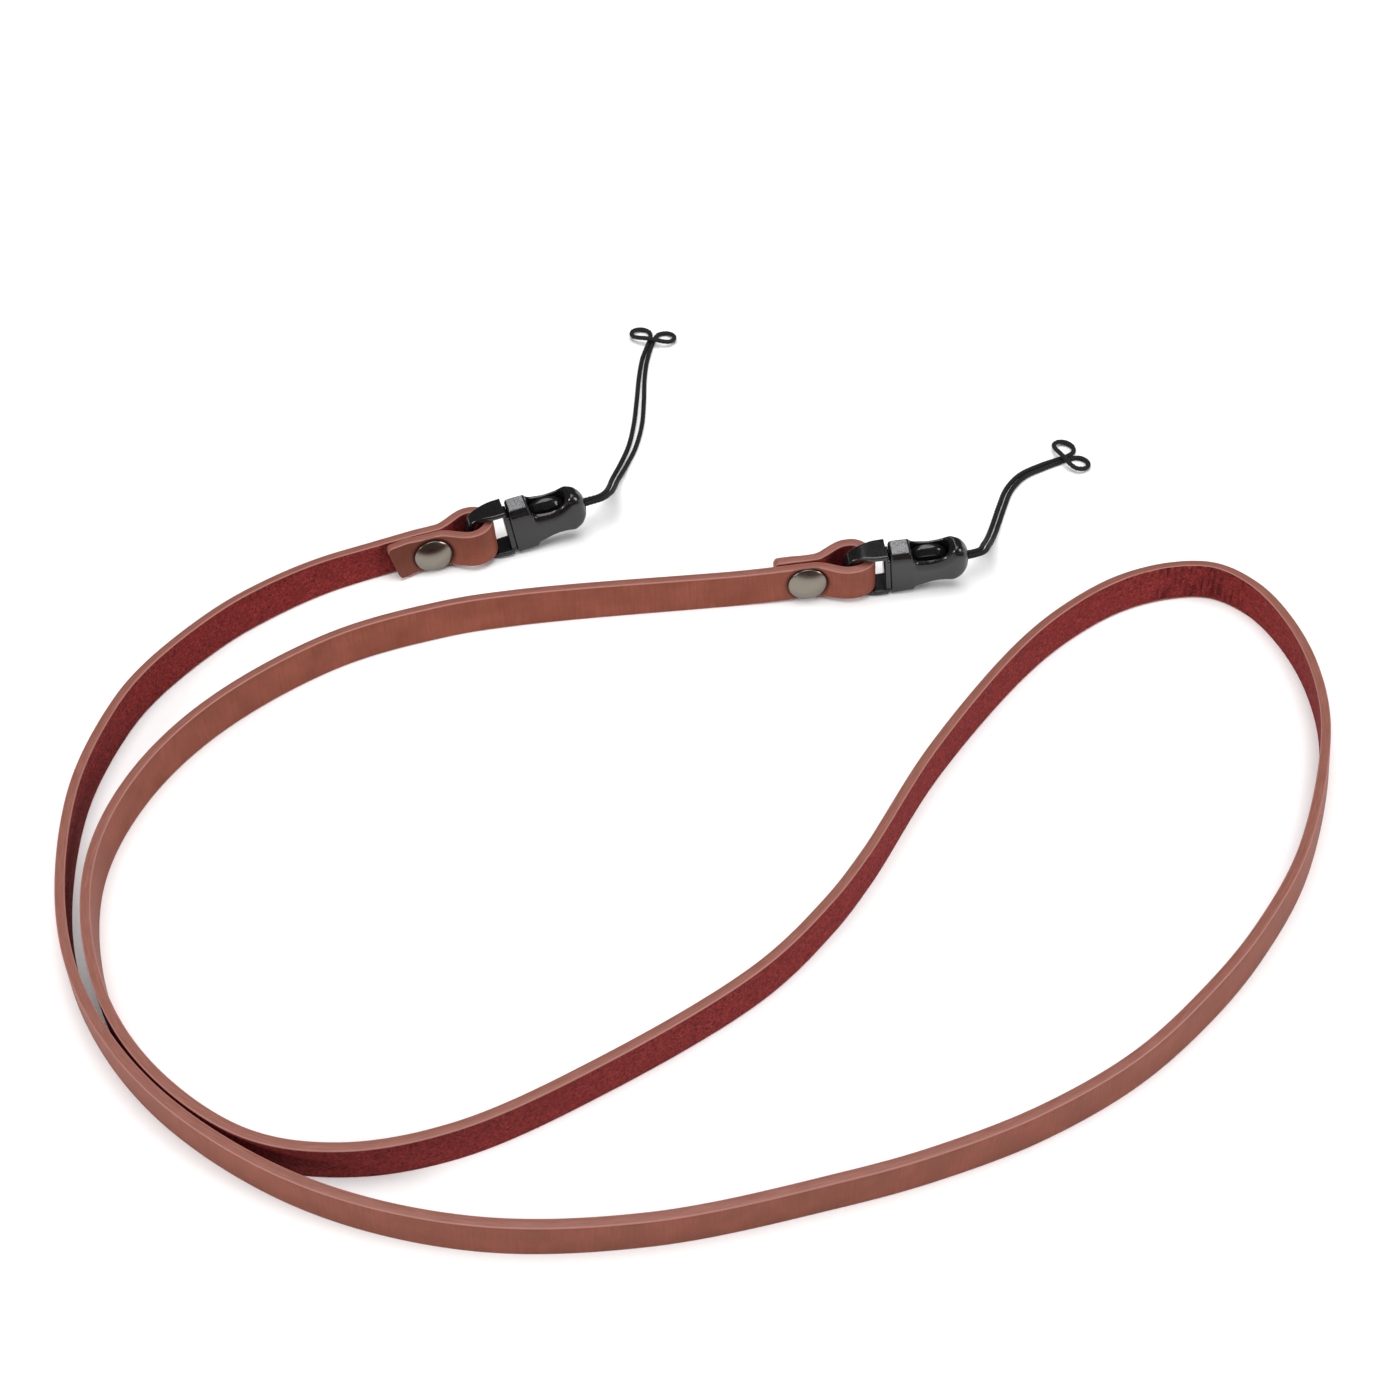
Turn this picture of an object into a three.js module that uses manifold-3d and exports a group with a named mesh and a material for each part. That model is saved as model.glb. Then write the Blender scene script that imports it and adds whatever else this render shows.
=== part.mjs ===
// Camera neck strap. One strip of leather is folded back at both ends, round the ring of a moulded
// clip, and held by a double-cap rivet. Each clip is a ring with a spring lever, pushed into a socket
// whose nose holds a thin cord loop that ends in a hitch.
// Millimetres, +Z up. The strip stands on its edge on the surface z = 0, as it was laid down.
import * as THREE from 'three';
import { mergeVertices } from 'three/addons/utils/BufferGeometryUtils.js';
import Module from 'manifold-3d';

const wasm = await Module();
wasm.setup();

// Clearance between pieces that touch on the real strap
const GAP = 0.3;

// Leather strip
const STRAP_WIDTH = 8;
const STRAP_THICK = 1.8;
const STRAP_BEVEL = 0.35;
const RUN_STEP = 6.5;
const END_STEP = 1.4;
const FOLD_STEPS = 12;

// Folded end, measured along the clip from the socket's mouth, negative towards the leather
const FOLD_TIP = -3.3;
const RIVET_AT = -16.7;
const LAYERS_PART = -13;
const LAYERS_WIDE = -8.2;
const FLARE_FROM = -20.5;
const FLAP_FLARE = 0.7;
const LIFT_FROM = -30;
const LIFT_EASE = 6;
const END_SLOPE = 4;

// Double-cap rivet
const CAP_RADIUS = 3.75;
const CAP_RIM = 0.3;
const CAP_DOME = 1.2;
const POST_RADIUS = 1.3;
const POST_IN_BACK = 0.6;
const RIVET_SIDES = 20;

// Clip ring, a D that is cut off by a crossbar at the socket's mouth
const RING_THICK = 5.1;
const RING_TIP = -9;
const RING_BASE = -0.9;
const RING_HALF_BASE = 5.8;
const RING_HALF_TIP = 5.5;
const RING_CORNER = 3.2;
const WINDOW_FROM = -7.8;
const WINDOW_TO = -2;
const WINDOW_HALF = 4.55;
const WINDOW_CORNER = 2;
const RING_BEVEL = 0.4;
const BLADE_THICK = 1.8;

// Clip socket
const SOCKET_THICK = 4.6;
const SOCKET_BEVEL = 0.6;
const SOCKET_NOSE = 16;
const COLLAR_LENGTH = 4.6;
const COLLAR_THICK = 5;
const COLLAR_TOP = 5.4;
const COLLAR_BOTTOM = -5.9;
const COLLAR_CORNER = 0.7;
const COLLAR_BEVEL = 0.35;
const SLOT_TOP = 4.4;
const SLOT_DEPTH = 12.3;
const FAR_WALL_THICK = 0.7;
const FAR_WALL_AT = 1.75;
const MOUTH_HEIGHT = 6.5;

// Cord loop: two strands side by side
const CORD_DIAMETER = 1;
const CORD_SIDES = 8;
const STRAND_STEP = 3.3;
const HITCH_STEP = 0.9;
const STRANDS_APART = 1.15;
const POCKET_FLOOR = 13.8;

// The two ends: where the socket's mouth stands, how the end is turned, how far the clip's nose points
// up, how far its top tips to the near side, the side of the strip that the folded flap is on, -1 for
// the near side, where the flap is cut off, and how far below the strip's middle the rivet was set
const ENDS = [
  { side: 'left', x: -40.6, y: 77.8, yaw: 17, pitch: 8, tip: 0, flap: -1, flapEnd: -25, rivetDrop: 0.6 },
  { side: 'right', x: 36, y: 65.5, yaw: 6, pitch: 6, tip: 6, flap: 1, flapEnd: -23, rivetDrop: 0 },
];

// The lay of the strip between the two folded ends, along its middle, seen from above, and the degrees
// by which its top edge tips to the left of the way from the left end to the right end
const LAY = [
  { x: -77, y: 66, lean: -2 },
  { x: -88, y: 58.3, lean: -4 },
  { x: -107, y: 36.3, lean: -4 },
  { x: -115, y: 5, lean: 0 },
  { x: -112.2, y: -23, lean: 2 },
  { x: -104.3, y: -42.2, lean: 0 },
  { x: -88.9, y: -60.3, lean: 0 },
  { x: -65, y: -75.8, lean: 0 },
  { x: -38, y: -83.2, lean: -2 },
  { x: -10, y: -82.8, lean: -2 },
  { x: 20, y: -75.7, lean: -1 },
  { x: 52.5, y: -63.2, lean: 1 },
  { x: 69.2, y: -53.4, lean: 2 },
  { x: 83.3, y: -40.8, lean: 5 },
  { x: 105.4, y: -8.7, lean: 8 },
  { x: 115, y: 20, lean: 9 },
  { x: 115.4, y: 36.5, lean: 8 },
  { x: 112.9, y: 49.2, lean: 7 },
  { x: 108.4, y: 58.3, lean: 5 },
  { x: 101.2, y: 63.9, lean: 1 },
  { x: 92.5, y: 64.2, lean: -3 },
  { x: 82, y: 60, lean: -5 },
  { x: 60, y: 41, lean: -5 },
  { x: 41, y: 14.5, lean: -3 },
  { x: 27.2, y: -10.5, lean: -3 },
  { x: 8, y: -35.5, lean: -2 },
  { x: -17.5, y: -54, lean: 0 },
  { x: -41, y: -66.3, lean: 0 },
  { x: -59, y: -70.2, lean: 0 },
  { x: -74.5, y: -67.3, lean: 0 },
  { x: -92, y: -53.8, lean: 0 },
  { x: -103, y: -36, lean: 0 },
  { x: -108.6, y: -13, lean: -2 },
  { x: -105.5, y: 7, lean: 0 },
  { x: -94.5, y: 26, lean: 1 },
  { x: -73.5, y: 44, lean: 0 },
  { x: -38, y: 56, lean: 1 },
  { x: -2, y: 60.6, lean: -1 },
];

// The cords' middle line from the floor of the nose pocket to the hitch, and how far apart the two
// strands lie there
const CORDS = {
  left: {
    rows: [
      { x: -27.3, y: 81.85, z: 8.5, apart: 1.15 },
      { x: -24.9, y: 82.6, z: 8.75, apart: 1.15 },
      { x: -22.4, y: 84.3, z: 8.3, apart: 1.15 },
      { x: -21, y: 87.8, z: 6.6, apart: 1.2 },
      { x: -20.4, y: 92, z: 4.4, apart: 1.2 },
      { x: -19.8, y: 97.5, z: 2, apart: 1.3 },
      { x: -18.3, y: 103.5, z: 0.75, apart: 1.4 },
      { x: -16.5, y: 110, z: 0.55, apart: 1.6 },
      { x: -15.4, y: 117.5, z: 0.55, apart: 1.8 },
      { x: -15, y: 126, z: 0.55, apart: 1.6 },
      { x: -14.8, y: 134, z: 0.55, apart: 1.3 },
      { x: -14.2, y: 141, z: 0.55, apart: 1.2 },
    ],
    hitch: { x: -12.5, y: 149, heading: 76 },
  },
  right: {
    rows: [
      { x: 49.9, y: 66.95, z: 7.95, apart: 1.15 },
      { x: 52.4, y: 67.2, z: 8.2, apart: 1.15 },
      { x: 54.7, y: 68.6, z: 7.8, apart: 1.15 },
      { x: 56, y: 72, z: 6.2, apart: 1.2 },
      { x: 57.2, y: 76, z: 3.8, apart: 1.2 },
      { x: 58.6, y: 80.8, z: 1.6, apart: 1.2 },
      { x: 60, y: 85.5, z: 0.65, apart: 1.2 },
      { x: 61.6, y: 90.5, z: 0.55, apart: 1.2 },
      { x: 63.6, y: 95.8, z: 0.55, apart: 1.2 },
      { x: 66.8, y: 100.2, z: 0.55, apart: 1.2 },
      { x: 71.3, y: 103.2, z: 0.55, apart: 1.2 },
    ],
    hitch: { x: 78, y: 106.6, heading: 27 },
  },
};

// One half of the hitch, laid flat: from under the bight round one of its two eyes to the middle of the
// bight; the other half is its mirror image
const HITCH = [
  { ahead: 0, aside: 0.6, z: 0.55 },
  { ahead: 1.56, aside: 1.24, z: 0.55 },
  { ahead: 2.2, aside: 2.8, z: 0.6 },
  { ahead: 1.56, aside: 4.36, z: 0.75 },
  { ahead: 0, aside: 5, z: 1 },
  { ahead: -1.56, aside: 4.36, z: 1.25 },
  { ahead: -2.2, aside: 2.8, z: 1.55 },
  { ahead: -2.3, aside: 1.4, z: 1.75 },
];
const BIGHT = { ahead: -2.3, aside: 0, z: 1.8 };

const leather = new THREE.MeshStandardMaterial({ color: 0xa5624f, roughness: 0.6 });
const plastic = new THREE.MeshStandardMaterial({ color: 0x1c1c1e, roughness: 0.4 });
const gunmetal = new THREE.MeshStandardMaterial({ color: 0x79736b, roughness: 0.3, metalness: 1 });
const braid = new THREE.MeshStandardMaterial({ color: 0x151515, roughness: 0.9 });

// A path with its own stations, close together where it bends hard and far apart where it runs on. A
// flat strip also gives the direction of its width at each station.
class StationedPath extends THREE.Curve {
  constructor(points, widths) {
    super();
    this.points = points;
    this.widths = widths;
    this.steps = points.length - 1;
  }

  getPointAt(u) {
    return this.points[Math.round(u * this.steps)].clone();
  }

  getTangentAt(u) {
    const i = Math.round(u * this.steps);
    const before = this.points[Math.max(i - 1, 0)];
    const after = this.points[Math.min(i + 1, this.steps)];
    return after.clone().sub(before).normalize();
  }

  computeFrenetFrames(segments, closed) {
    if (!this.widths) {
      return super.computeFrenetFrames(segments, closed);
    }
    const tangents = this.points.map((_, i) => this.getTangentAt(i / this.steps));
    const normals = this.widths.map((width, i) => {
      const slant = width.dot(tangents[i]);
      return width.clone().addScaledVector(tangents[i], -slant).normalize();
    });
    const binormals = tangents.map((tangent, i) => tangent.clone().cross(normals[i]));
    return { tangents, normals, binormals };
  }
}

function sweep(section, points, widths) {
  const path = new StationedPath(points, widths);
  return new THREE.ExtrudeGeometry(section, {
    steps: path.steps,
    extrudePath: path,
    bevelEnabled: false,
  });
}

// A plate drawn in the clip's long plane, with its thickness across it
function plate(shape, thick, bevel, curveSegments) {
  const geometry = new THREE.ExtrudeGeometry(shape, {
    depth: thick - 2 * bevel,
    bevelEnabled: bevel > 0,
    bevelThickness: bevel,
    bevelSize: bevel,
    bevelOffset: -bevel,
    bevelSegments: 2,
    curveSegments,
  });
  geometry.translate(0, 0, bevel - thick / 2);
  geometry.rotateX(Math.PI / 2);
  return geometry;
}

function toSolid(geometry) {
  const bare = geometry.clone();
  bare.deleteAttribute('normal');
  bare.deleteAttribute('uv');
  const merged = mergeVertices(bare, 1e-4);
  return new wasm.Manifold(new wasm.Mesh({
    numProp: 3,
    vertProperties: new Float32Array(merged.attributes.position.array),
    triVerts: new Uint32Array(merged.index.array),
  }));
}

function fromSolid(solid) {
  const mesh = solid.getMesh();
  const geometry = new THREE.BufferGeometry();
  geometry.setAttribute('position', new THREE.BufferAttribute(mesh.vertProperties, 3));
  geometry.setIndex(new THREE.BufferAttribute(mesh.triVerts, 1));
  geometry.computeVertexNormals();
  return geometry;
}

function named(name, geometry, material) {
  const mesh = new THREE.Mesh(geometry, material);
  mesh.name = name;
  return mesh;
}

function roundedBox(x0, x1, y0, y1, radius) {
  const shape = new THREE.Shape();
  shape.moveTo(x0 + radius, y0);
  shape.lineTo(x1 - radius, y0);
  shape.absarc(x1 - radius, y0 + radius, radius, -Math.PI / 2, 0);
  shape.lineTo(x1, y1 - radius);
  shape.absarc(x1 - radius, y1 - radius, radius, 0, Math.PI / 2);
  shape.lineTo(x0 + radius, y1);
  shape.absarc(x0 + radius, y1 - radius, radius, Math.PI / 2, Math.PI);
  shape.lineTo(x0, y0 + radius);
  shape.absarc(x0 + radius, y0 + radius, radius, Math.PI, Math.PI * 1.5);
  return shape;
}

function polygon(points) {
  return new THREE.Shape(points.map(([x, y]) => new THREE.Vector2(x, y)));
}

const { degToRad, lerp, smoothstep } = THREE.MathUtils;

// Height of the strip's middle line where it stands on the surface, tipped over by some degrees
function standingHeight(lean) {
  const tilt = Math.abs(degToRad(lean));
  const foot = STRAP_THICK / 2 - STRAP_BEVEL;
  return (STRAP_WIDTH / 2) * Math.cos(tilt) + foot * Math.sin(tilt);
}

// How far the strip is lifted off the surface near an end, where it slopes up to the clip
function endLift(along) {
  const past = along - LIFT_FROM;
  let run = Math.max(past, 0);
  if (Math.abs(past) < LIFT_EASE) {
    run = (past + LIFT_EASE) ** 2 / (4 * LIFT_EASE);
  }
  return run * Math.tan(degToRad(END_SLOPE));
}

// The frame of a folded end: along the clip, across the leather, and up its width
function endFrame(end) {
  const turn = new THREE.Euler(degToRad(end.tip), -degToRad(END_SLOPE), degToRad(end.yaw), 'ZYX');
  const height = standingHeight(end.tip) + endLift(0);
  return new THREE.Matrix4().makeRotationFromEuler(turn).setPosition(end.x, end.y, height);
}

function endPoint(end, along, aside) {
  return new THREE.Vector3(along, aside, 0).applyMatrix4(endFrame(end));
}

const LAYER_OFFSET = (STRAP_THICK + GAP) / 2;
const FOLD_RADIUS = RING_THICK / 2 + GAP + STRAP_THICK / 2;
const FOLD_CENTRE = FOLD_TIP - STRAP_THICK / 2 - FOLD_RADIUS;

// Distance of each leather layer from the fold's middle plane
function layerOffset(along) {
  return lerp(LAYER_OFFSET, FOLD_RADIUS, smoothstep(along, LAYERS_PART, LAYERS_WIDE));
}

function steppedFrom(start, stop, step) {
  const count = Math.ceil(Math.abs(stop - start) / step);
  return Array.from({ length: count }, (_, i) => start + ((stop - start) * i) / count);
}

// One folded end, from the rivet on the strap side round the ring to the flap's cut edge
function foldedEnd(end) {
  const strapSide = -end.flap;
  const points = steppedFrom(RIVET_AT, FOLD_CENTRE, END_STEP).map((along) =>
    endPoint(end, along, strapSide * layerOffset(along)));
  for (const turn of steppedFrom(0, Math.PI, Math.PI / FOLD_STEPS)) {
    const along = FOLD_CENTRE + FOLD_RADIUS * Math.sin(turn);
    points.push(endPoint(end, along, strapSide * FOLD_RADIUS * Math.cos(turn)));
  }
  const back = steppedFrom(FOLD_CENTRE, LAYERS_PART, END_STEP);
  const tail = [LAYERS_PART, RIVET_AT, FLARE_FROM, lerp(FLARE_FROM, end.flapEnd, 0.5), end.flapEnd];
  for (const along of [...back, ...tail]) {
    const flare = FLAP_FLARE * smoothstep(-along, -FLARE_FROM, -end.flapEnd);
    points.push(endPoint(end, along, -strapSide * (layerOffset(along) + flare)));
  }
  const width = new THREE.Vector3().setFromMatrixColumn(endFrame(end), 2);
  return { points, widths: points.map(() => width) };
}

// The open run between the two rivets. Its knots carry the lean in place of a height.
function openRun([left, right]) {
  const lead = (end, along, lean) => {
    const { x, y } = endPoint(end, along, -end.flap * LAYER_OFFSET);
    return new THREE.Vector3(x, y, lean);
  };
  const knots = [
    lead(left, RIVET_AT, left.tip),
    lead(left, FLARE_FROM, left.tip),
    ...LAY.map(({ x, y, lean }) => new THREE.Vector3(x, y, lean)),
    lead(right, FLARE_FROM, -right.tip),
    lead(right, RIVET_AT, -right.tip),
  ];
  const curve = new THREE.CatmullRomCurve3(knots, false, 'centripetal');
  curve.arcLengthDivisions = 2000;
  const length = curve.getLength();
  const points = curve.getSpacedPoints(Math.round(length / RUN_STEP));
  const last = points.length - 1;
  const widths = points.map((point, i) => {
    const ahead = points[Math.min(i + 1, last)].clone().sub(points[Math.max(i - 1, 0)]).setZ(0);
    const lean = degToRad(point.z);
    const left = new THREE.Vector3(-ahead.y, ahead.x, 0).setLength(Math.sin(lean));
    return left.setZ(Math.cos(lean));
  });
  points.forEach((point, i) => {
    const fromEnd = (Math.min(i, last - i) * length) / last;
    point.z = standingHeight(point.z) + endLift(RIVET_AT - fromEnd);
  });
  return { points: points.slice(1, -1), widths: widths.slice(1, -1) };
}

function makeStrap() {
  const half = STRAP_WIDTH / 2;
  const face = STRAP_THICK / 2;
  const section = polygon([
    [-half + STRAP_BEVEL, -face],
    [half - STRAP_BEVEL, -face],
    [half, -face + STRAP_BEVEL],
    [half, face - STRAP_BEVEL],
    [half - STRAP_BEVEL, face],
    [-half + STRAP_BEVEL, face],
    [-half, face - STRAP_BEVEL],
    [-half, -face + STRAP_BEVEL],
  ]);
  const first = foldedEnd(ENDS[0]);
  const run = openRun(ENDS);
  const last = foldedEnd(ENDS[1]);
  const points = [...first.points.reverse(), ...run.points, ...last.points];
  const widths = [...first.widths, ...run.widths, ...last.widths];
  let strip = toSolid(sweep(section, points, widths));
  for (const end of ENDS) {
    const radius = POST_RADIUS + GAP;
    const drill = new THREE.CylinderGeometry(radius, radius, 4 * STRAP_THICK, RIVET_SIDES);
    drill.translate(RIVET_AT, 0, -end.rivetDrop);
    drill.applyMatrix4(endFrame(end));
    strip = strip.subtract(toSolid(drill));
  }
  return named('leather_strap', fromSolid(strip), leather);
}

const CAP_SEAT = LAYER_OFFSET + STRAP_THICK / 2 + GAP;

function domePoints(count) {
  return Array.from({ length: count + 1 }, (_, i) => {
    const turn = (Math.PI / 2) * (i / count);
    return new THREE.Vector2(
      CAP_RADIUS * Math.cos(turn),
      CAP_SEAT + CAP_RIM + CAP_DOME * Math.sin(turn),
    );
  });
}

// The cap that shows, with its post, and the plain cap that the post is set in
function makeRivet(side) {
  const dome = domePoints(5);
  const postEnd = CAP_SEAT + POST_IN_BACK;
  const front = [
    ...dome.map(({ x, y }) => new THREE.Vector2(x, -y)).reverse(),
    new THREE.Vector2(CAP_RADIUS, -CAP_SEAT),
    new THREE.Vector2(POST_RADIUS, -CAP_SEAT),
    new THREE.Vector2(POST_RADIUS, postEnd),
    new THREE.Vector2(0, postEnd),
  ];
  const back = [
    new THREE.Vector2(0, postEnd + GAP),
    new THREE.Vector2(POST_RADIUS + GAP, postEnd + GAP),
    new THREE.Vector2(POST_RADIUS + GAP, CAP_SEAT),
    new THREE.Vector2(CAP_RADIUS, CAP_SEAT),
    ...dome,
  ];
  return [
    named(`rivet_cap_${side}`, new THREE.LatheGeometry(front, RIVET_SIDES), gunmetal),
    named(`rivet_back_${side}`, new THREE.LatheGeometry(back, RIVET_SIDES), gunmetal),
  ];
}

function ringOutline() {
  const corner = RING_TIP + RING_CORNER;
  const rise = RING_HALF_TIP - RING_CORNER;
  const shape = new THREE.Shape();
  shape.moveTo(RING_BASE, -RING_HALF_BASE);
  shape.lineTo(RING_BASE, RING_HALF_BASE);
  shape.lineTo(corner, RING_HALF_TIP);
  shape.absarc(corner, rise, RING_CORNER, Math.PI / 2, Math.PI);
  shape.absarc(corner, -rise, RING_CORNER, Math.PI, Math.PI * 1.5);
  shape.holes.push(roundedBox(WINDOW_FROM, WINDOW_TO, -WINDOW_HALF, WINDOW_HALF, WINDOW_CORNER));
  return shape;
}

// The spring lever runs in under the collar, hooks behind it and shows in the socket's scoop
function leverOutline() {
  const root = RING_BASE - 0.8;
  const hook = COLLAR_LENGTH + GAP;
  const shape = new THREE.Shape();
  shape.moveTo(root, 1.8);
  shape.lineTo(hook, 1.4);
  shape.quadraticCurveTo(8, 0.9, 11.4, 1.5);
  shape.lineTo(11.7, 3);
  shape.quadraticCurveTo(8, 2.2, hook, 4.9);
  shape.lineTo(hook, SLOT_TOP - GAP - 0.2);
  shape.lineTo(root, SLOT_TOP - GAP - 0.2);
  return shape;
}

function tongueOutline() {
  return polygon([
    [RING_BASE - 0.8, -3.4],
    [7.5, -3.2],
    [10.4, -2.5],
    [10.4, -1.3],
    [7.5, -0.6],
    [RING_BASE - 0.8, -0.6],
  ]);
}

function makeRing(side) {
  const solid = toSolid(plate(ringOutline(), RING_THICK, RING_BEVEL, 5))
    .add(toSolid(plate(leverOutline(), BLADE_THICK, 0, 6)))
    .add(toSolid(plate(tongueOutline(), BLADE_THICK, 0, 1)));
  return named(`clip_ring_${side}`, fromSolid(solid), plastic);
}

// Waisted below, scooped deep above where the lever is pressed, with a round nose
function socketOutline() {
  const shape = new THREE.Shape();
  shape.moveTo(1, -4.9);
  shape.lineTo(COLLAR_LENGTH, -4.9);
  shape.bezierCurveTo(7, -4.4, 9.4, -4.3, 11.2, -4.8);
  shape.bezierCurveTo(13.6, -5.5, SOCKET_NOSE, -3.6, SOCKET_NOSE, 0);
  shape.bezierCurveTo(SOCKET_NOSE, 2.8, 15, 4.4, 13.6, 4.4);
  shape.bezierCurveTo(12.2, 4.4, 11.8, 1.2, 8.8, 1.2);
  shape.bezierCurveTo(6.6, 1.2, 5.2, 1.8, COLLAR_LENGTH - 0.2, 4.9);
  shape.lineTo(1, 4.9);
  return shape;
}

// The wall behind the lever stays up where the near side is scooped
function farWallOutline() {
  const shape = new THREE.Shape();
  shape.moveTo(COLLAR_LENGTH - 0.6, 0);
  shape.lineTo(13, 0);
  shape.lineTo(13, 4);
  shape.bezierCurveTo(11.4, 3.9, 10, 3.6, 8.4, 3.6);
  shape.bezierCurveTo(7, 3.6, 5.8, 3.9, COLLAR_LENGTH - 0.6, 4.4);
  return shape;
}

function slotOutline() {
  const above = 2 * SLOT_TOP;
  return polygon([
    [-1, -3.9],
    [10.6, -3.4],
    [SLOT_DEPTH, -1.6],
    [SLOT_DEPTH, above],
    [COLLAR_LENGTH, above],
    [COLLAR_LENGTH, SLOT_TOP],
    [-1, SLOT_TOP],
  ]);
}

function makePocket() {
  const high = CORD_DIAMETER / 2 + GAP;
  const wide = STRANDS_APART / 2 + high;
  const geometry = new THREE.ExtrudeGeometry(roundedBox(-high, high, -wide, wide, high - 0.01), {
    depth: 2 * (SOCKET_NOSE - POCKET_FLOOR),
    bevelEnabled: false,
    curveSegments: 3,
  });
  geometry.rotateY(Math.PI / 2);
  geometry.translate(POCKET_FLOOR, 0, 0);
  return geometry;
}

function makeSocket(side) {
  const collar = roundedBox(0, COLLAR_LENGTH, COLLAR_BOTTOM, COLLAR_TOP, COLLAR_CORNER);
  const farWall = plate(farWallOutline(), FAR_WALL_THICK, 0, 4);
  farWall.translate(0, FAR_WALL_AT, 0);
  const solid = toSolid(plate(socketOutline(), SOCKET_THICK, SOCKET_BEVEL, 6))
    .add(toSolid(plate(collar, COLLAR_THICK, COLLAR_BEVEL, 3)))
    .add(toSolid(farWall))
    .subtract(toSolid(plate(slotOutline(), BLADE_THICK + 2 * GAP, 0, 1)))
    .subtract(toSolid(makePocket()));
  return named(`clip_socket_${side}`, fromSolid(solid), plastic);
}

// Points of one strand, offset to one side of the cord's middle line
function strandPoints(rows, hand) {
  return rows.map((row, i) => {
    const before = rows[Math.max(i - 1, 0)];
    const after = rows[Math.min(i + 1, rows.length - 1)];
    const heading = Math.atan2(after.y - before.y, after.x - before.x);
    const aside = (hand * row.apart) / 2;
    return new THREE.Vector3(
      row.x - aside * Math.sin(heading),
      row.y + aside * Math.cos(heading),
      row.z,
    );
  });
}

function hitchPoint({ x, y, heading }, { ahead, aside, z }, hand) {
  const turn = degToRad(heading);
  const across = hand * aside;
  return new THREE.Vector3(
    x + ahead * Math.cos(turn) - across * Math.sin(turn),
    y + ahead * Math.sin(turn) + across * Math.cos(turn),
    z,
  );
}

function makeCord(side) {
  const { rows, hitch } = CORDS[side];
  const knots = [
    ...strandPoints(rows, 1),
    ...HITCH.map((row) => hitchPoint(hitch, row, 1)),
    hitchPoint(hitch, BIGHT, 1),
    ...HITCH.map((row) => hitchPoint(hitch, row, -1)).reverse(),
    ...strandPoints(rows, -1).reverse(),
  ];
  const curve = new THREE.CatmullRomCurve3(knots, false, 'centripetal');
  const spans = knots.length - 1;
  const stations = [];
  for (let i = 0; i < spans; i += 1) {
    const inHitch = i >= rows.length && i < spans - rows.length;
    const step = inHitch ? HITCH_STEP : STRAND_STEP;
    const count = Math.max(1, Math.round(knots[i].distanceTo(knots[i + 1]) / step));
    for (let j = 0; j < count; j += 1) {
      stations.push(curve.getPoint((i + j / count) / spans));
    }
  }
  stations.push(knots[spans]);
  const corners = Array.from({ length: CORD_SIDES }, (_, i) => {
    const turn = (2 * Math.PI * i) / CORD_SIDES;
    return [(CORD_DIAMETER / 2) * Math.cos(turn), (CORD_DIAMETER / 2) * Math.sin(turn)];
  });
  return named(`cord_loop_${side}`, sweep(polygon(corners), stations), braid);
}

const group = new THREE.Group();
group.add(makeStrap());
for (const end of ENDS) {
  const fold = new THREE.Group();
  fold.applyMatrix4(endFrame(end));
  for (const piece of makeRivet(end.side)) {
    piece.position.set(RIVET_AT, 0, -end.rivetDrop);
    fold.add(piece);
  }
  const clip = new THREE.Group();
  clip.position.set(end.x, end.y, MOUTH_HEIGHT);
  clip.rotation.set(degToRad(end.tip), -degToRad(end.pitch), degToRad(end.yaw), 'ZYX');
  clip.add(makeRing(end.side), makeSocket(end.side));
  group.add(fold, clip, makeCord(end.side));
}

export default group;
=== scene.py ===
import math

import bpy
import numpy as np
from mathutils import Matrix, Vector


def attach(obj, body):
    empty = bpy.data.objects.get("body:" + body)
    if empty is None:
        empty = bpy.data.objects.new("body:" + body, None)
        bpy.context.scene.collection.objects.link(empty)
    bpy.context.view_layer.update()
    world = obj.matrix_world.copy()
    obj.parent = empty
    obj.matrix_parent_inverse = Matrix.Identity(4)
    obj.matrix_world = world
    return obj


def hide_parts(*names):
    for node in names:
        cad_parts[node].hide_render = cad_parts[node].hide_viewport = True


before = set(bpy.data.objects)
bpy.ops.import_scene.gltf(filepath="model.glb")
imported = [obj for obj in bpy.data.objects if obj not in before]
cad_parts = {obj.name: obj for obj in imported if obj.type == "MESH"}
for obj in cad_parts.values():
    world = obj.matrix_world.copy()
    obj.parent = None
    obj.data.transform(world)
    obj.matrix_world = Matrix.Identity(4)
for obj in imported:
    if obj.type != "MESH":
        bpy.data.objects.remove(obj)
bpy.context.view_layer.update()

# Every table is in millimetres and degrees; meshes are made in metres.
MM = 0.001
RNG = np.random.default_rng(11)

# Camera: it looks down at the strap from the near side.
CAMERA_AT = (-3.0, -259.2, 305.7)
CAMERA_AIM = (-3.0, 36.0, 0.0)
SENSOR_WIDTH = 36.0
LENS = 57.02

# Leather strip. It stands on its lower edge, a little inside the edge's corners.
STRAP_WIDTH = 8.0
STRAP_THICK = 1.8
STRAP_CORNER = 0.2
EDGE_CROWN = 0.05
FOOT_INSET = 0.35
FLOOR_CLEAR = 0.01
GAP = 0.3
FLAP_SLANT = 0.14
SLANT_RUN = 7
FLAP_CORNER = 1.1

# The strip's mesh: steps along it and columns across it
SPAN_STEPS = 60
RUN_STEP = 0.75
CREASE_STEP = 0.16
END_STEP = 0.35
FOLD_STEPS = 30
FACE_COLUMNS = 14
EDGE_COLUMNS = 5
CORNER_TURNS = (30, 60)

# Hand-cut unevenness of the strip's faces: how far they wander, and over how many rows
WANDER = 0.03
WANDER_ROWS = 40
WANDER_SEED = 3

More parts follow.
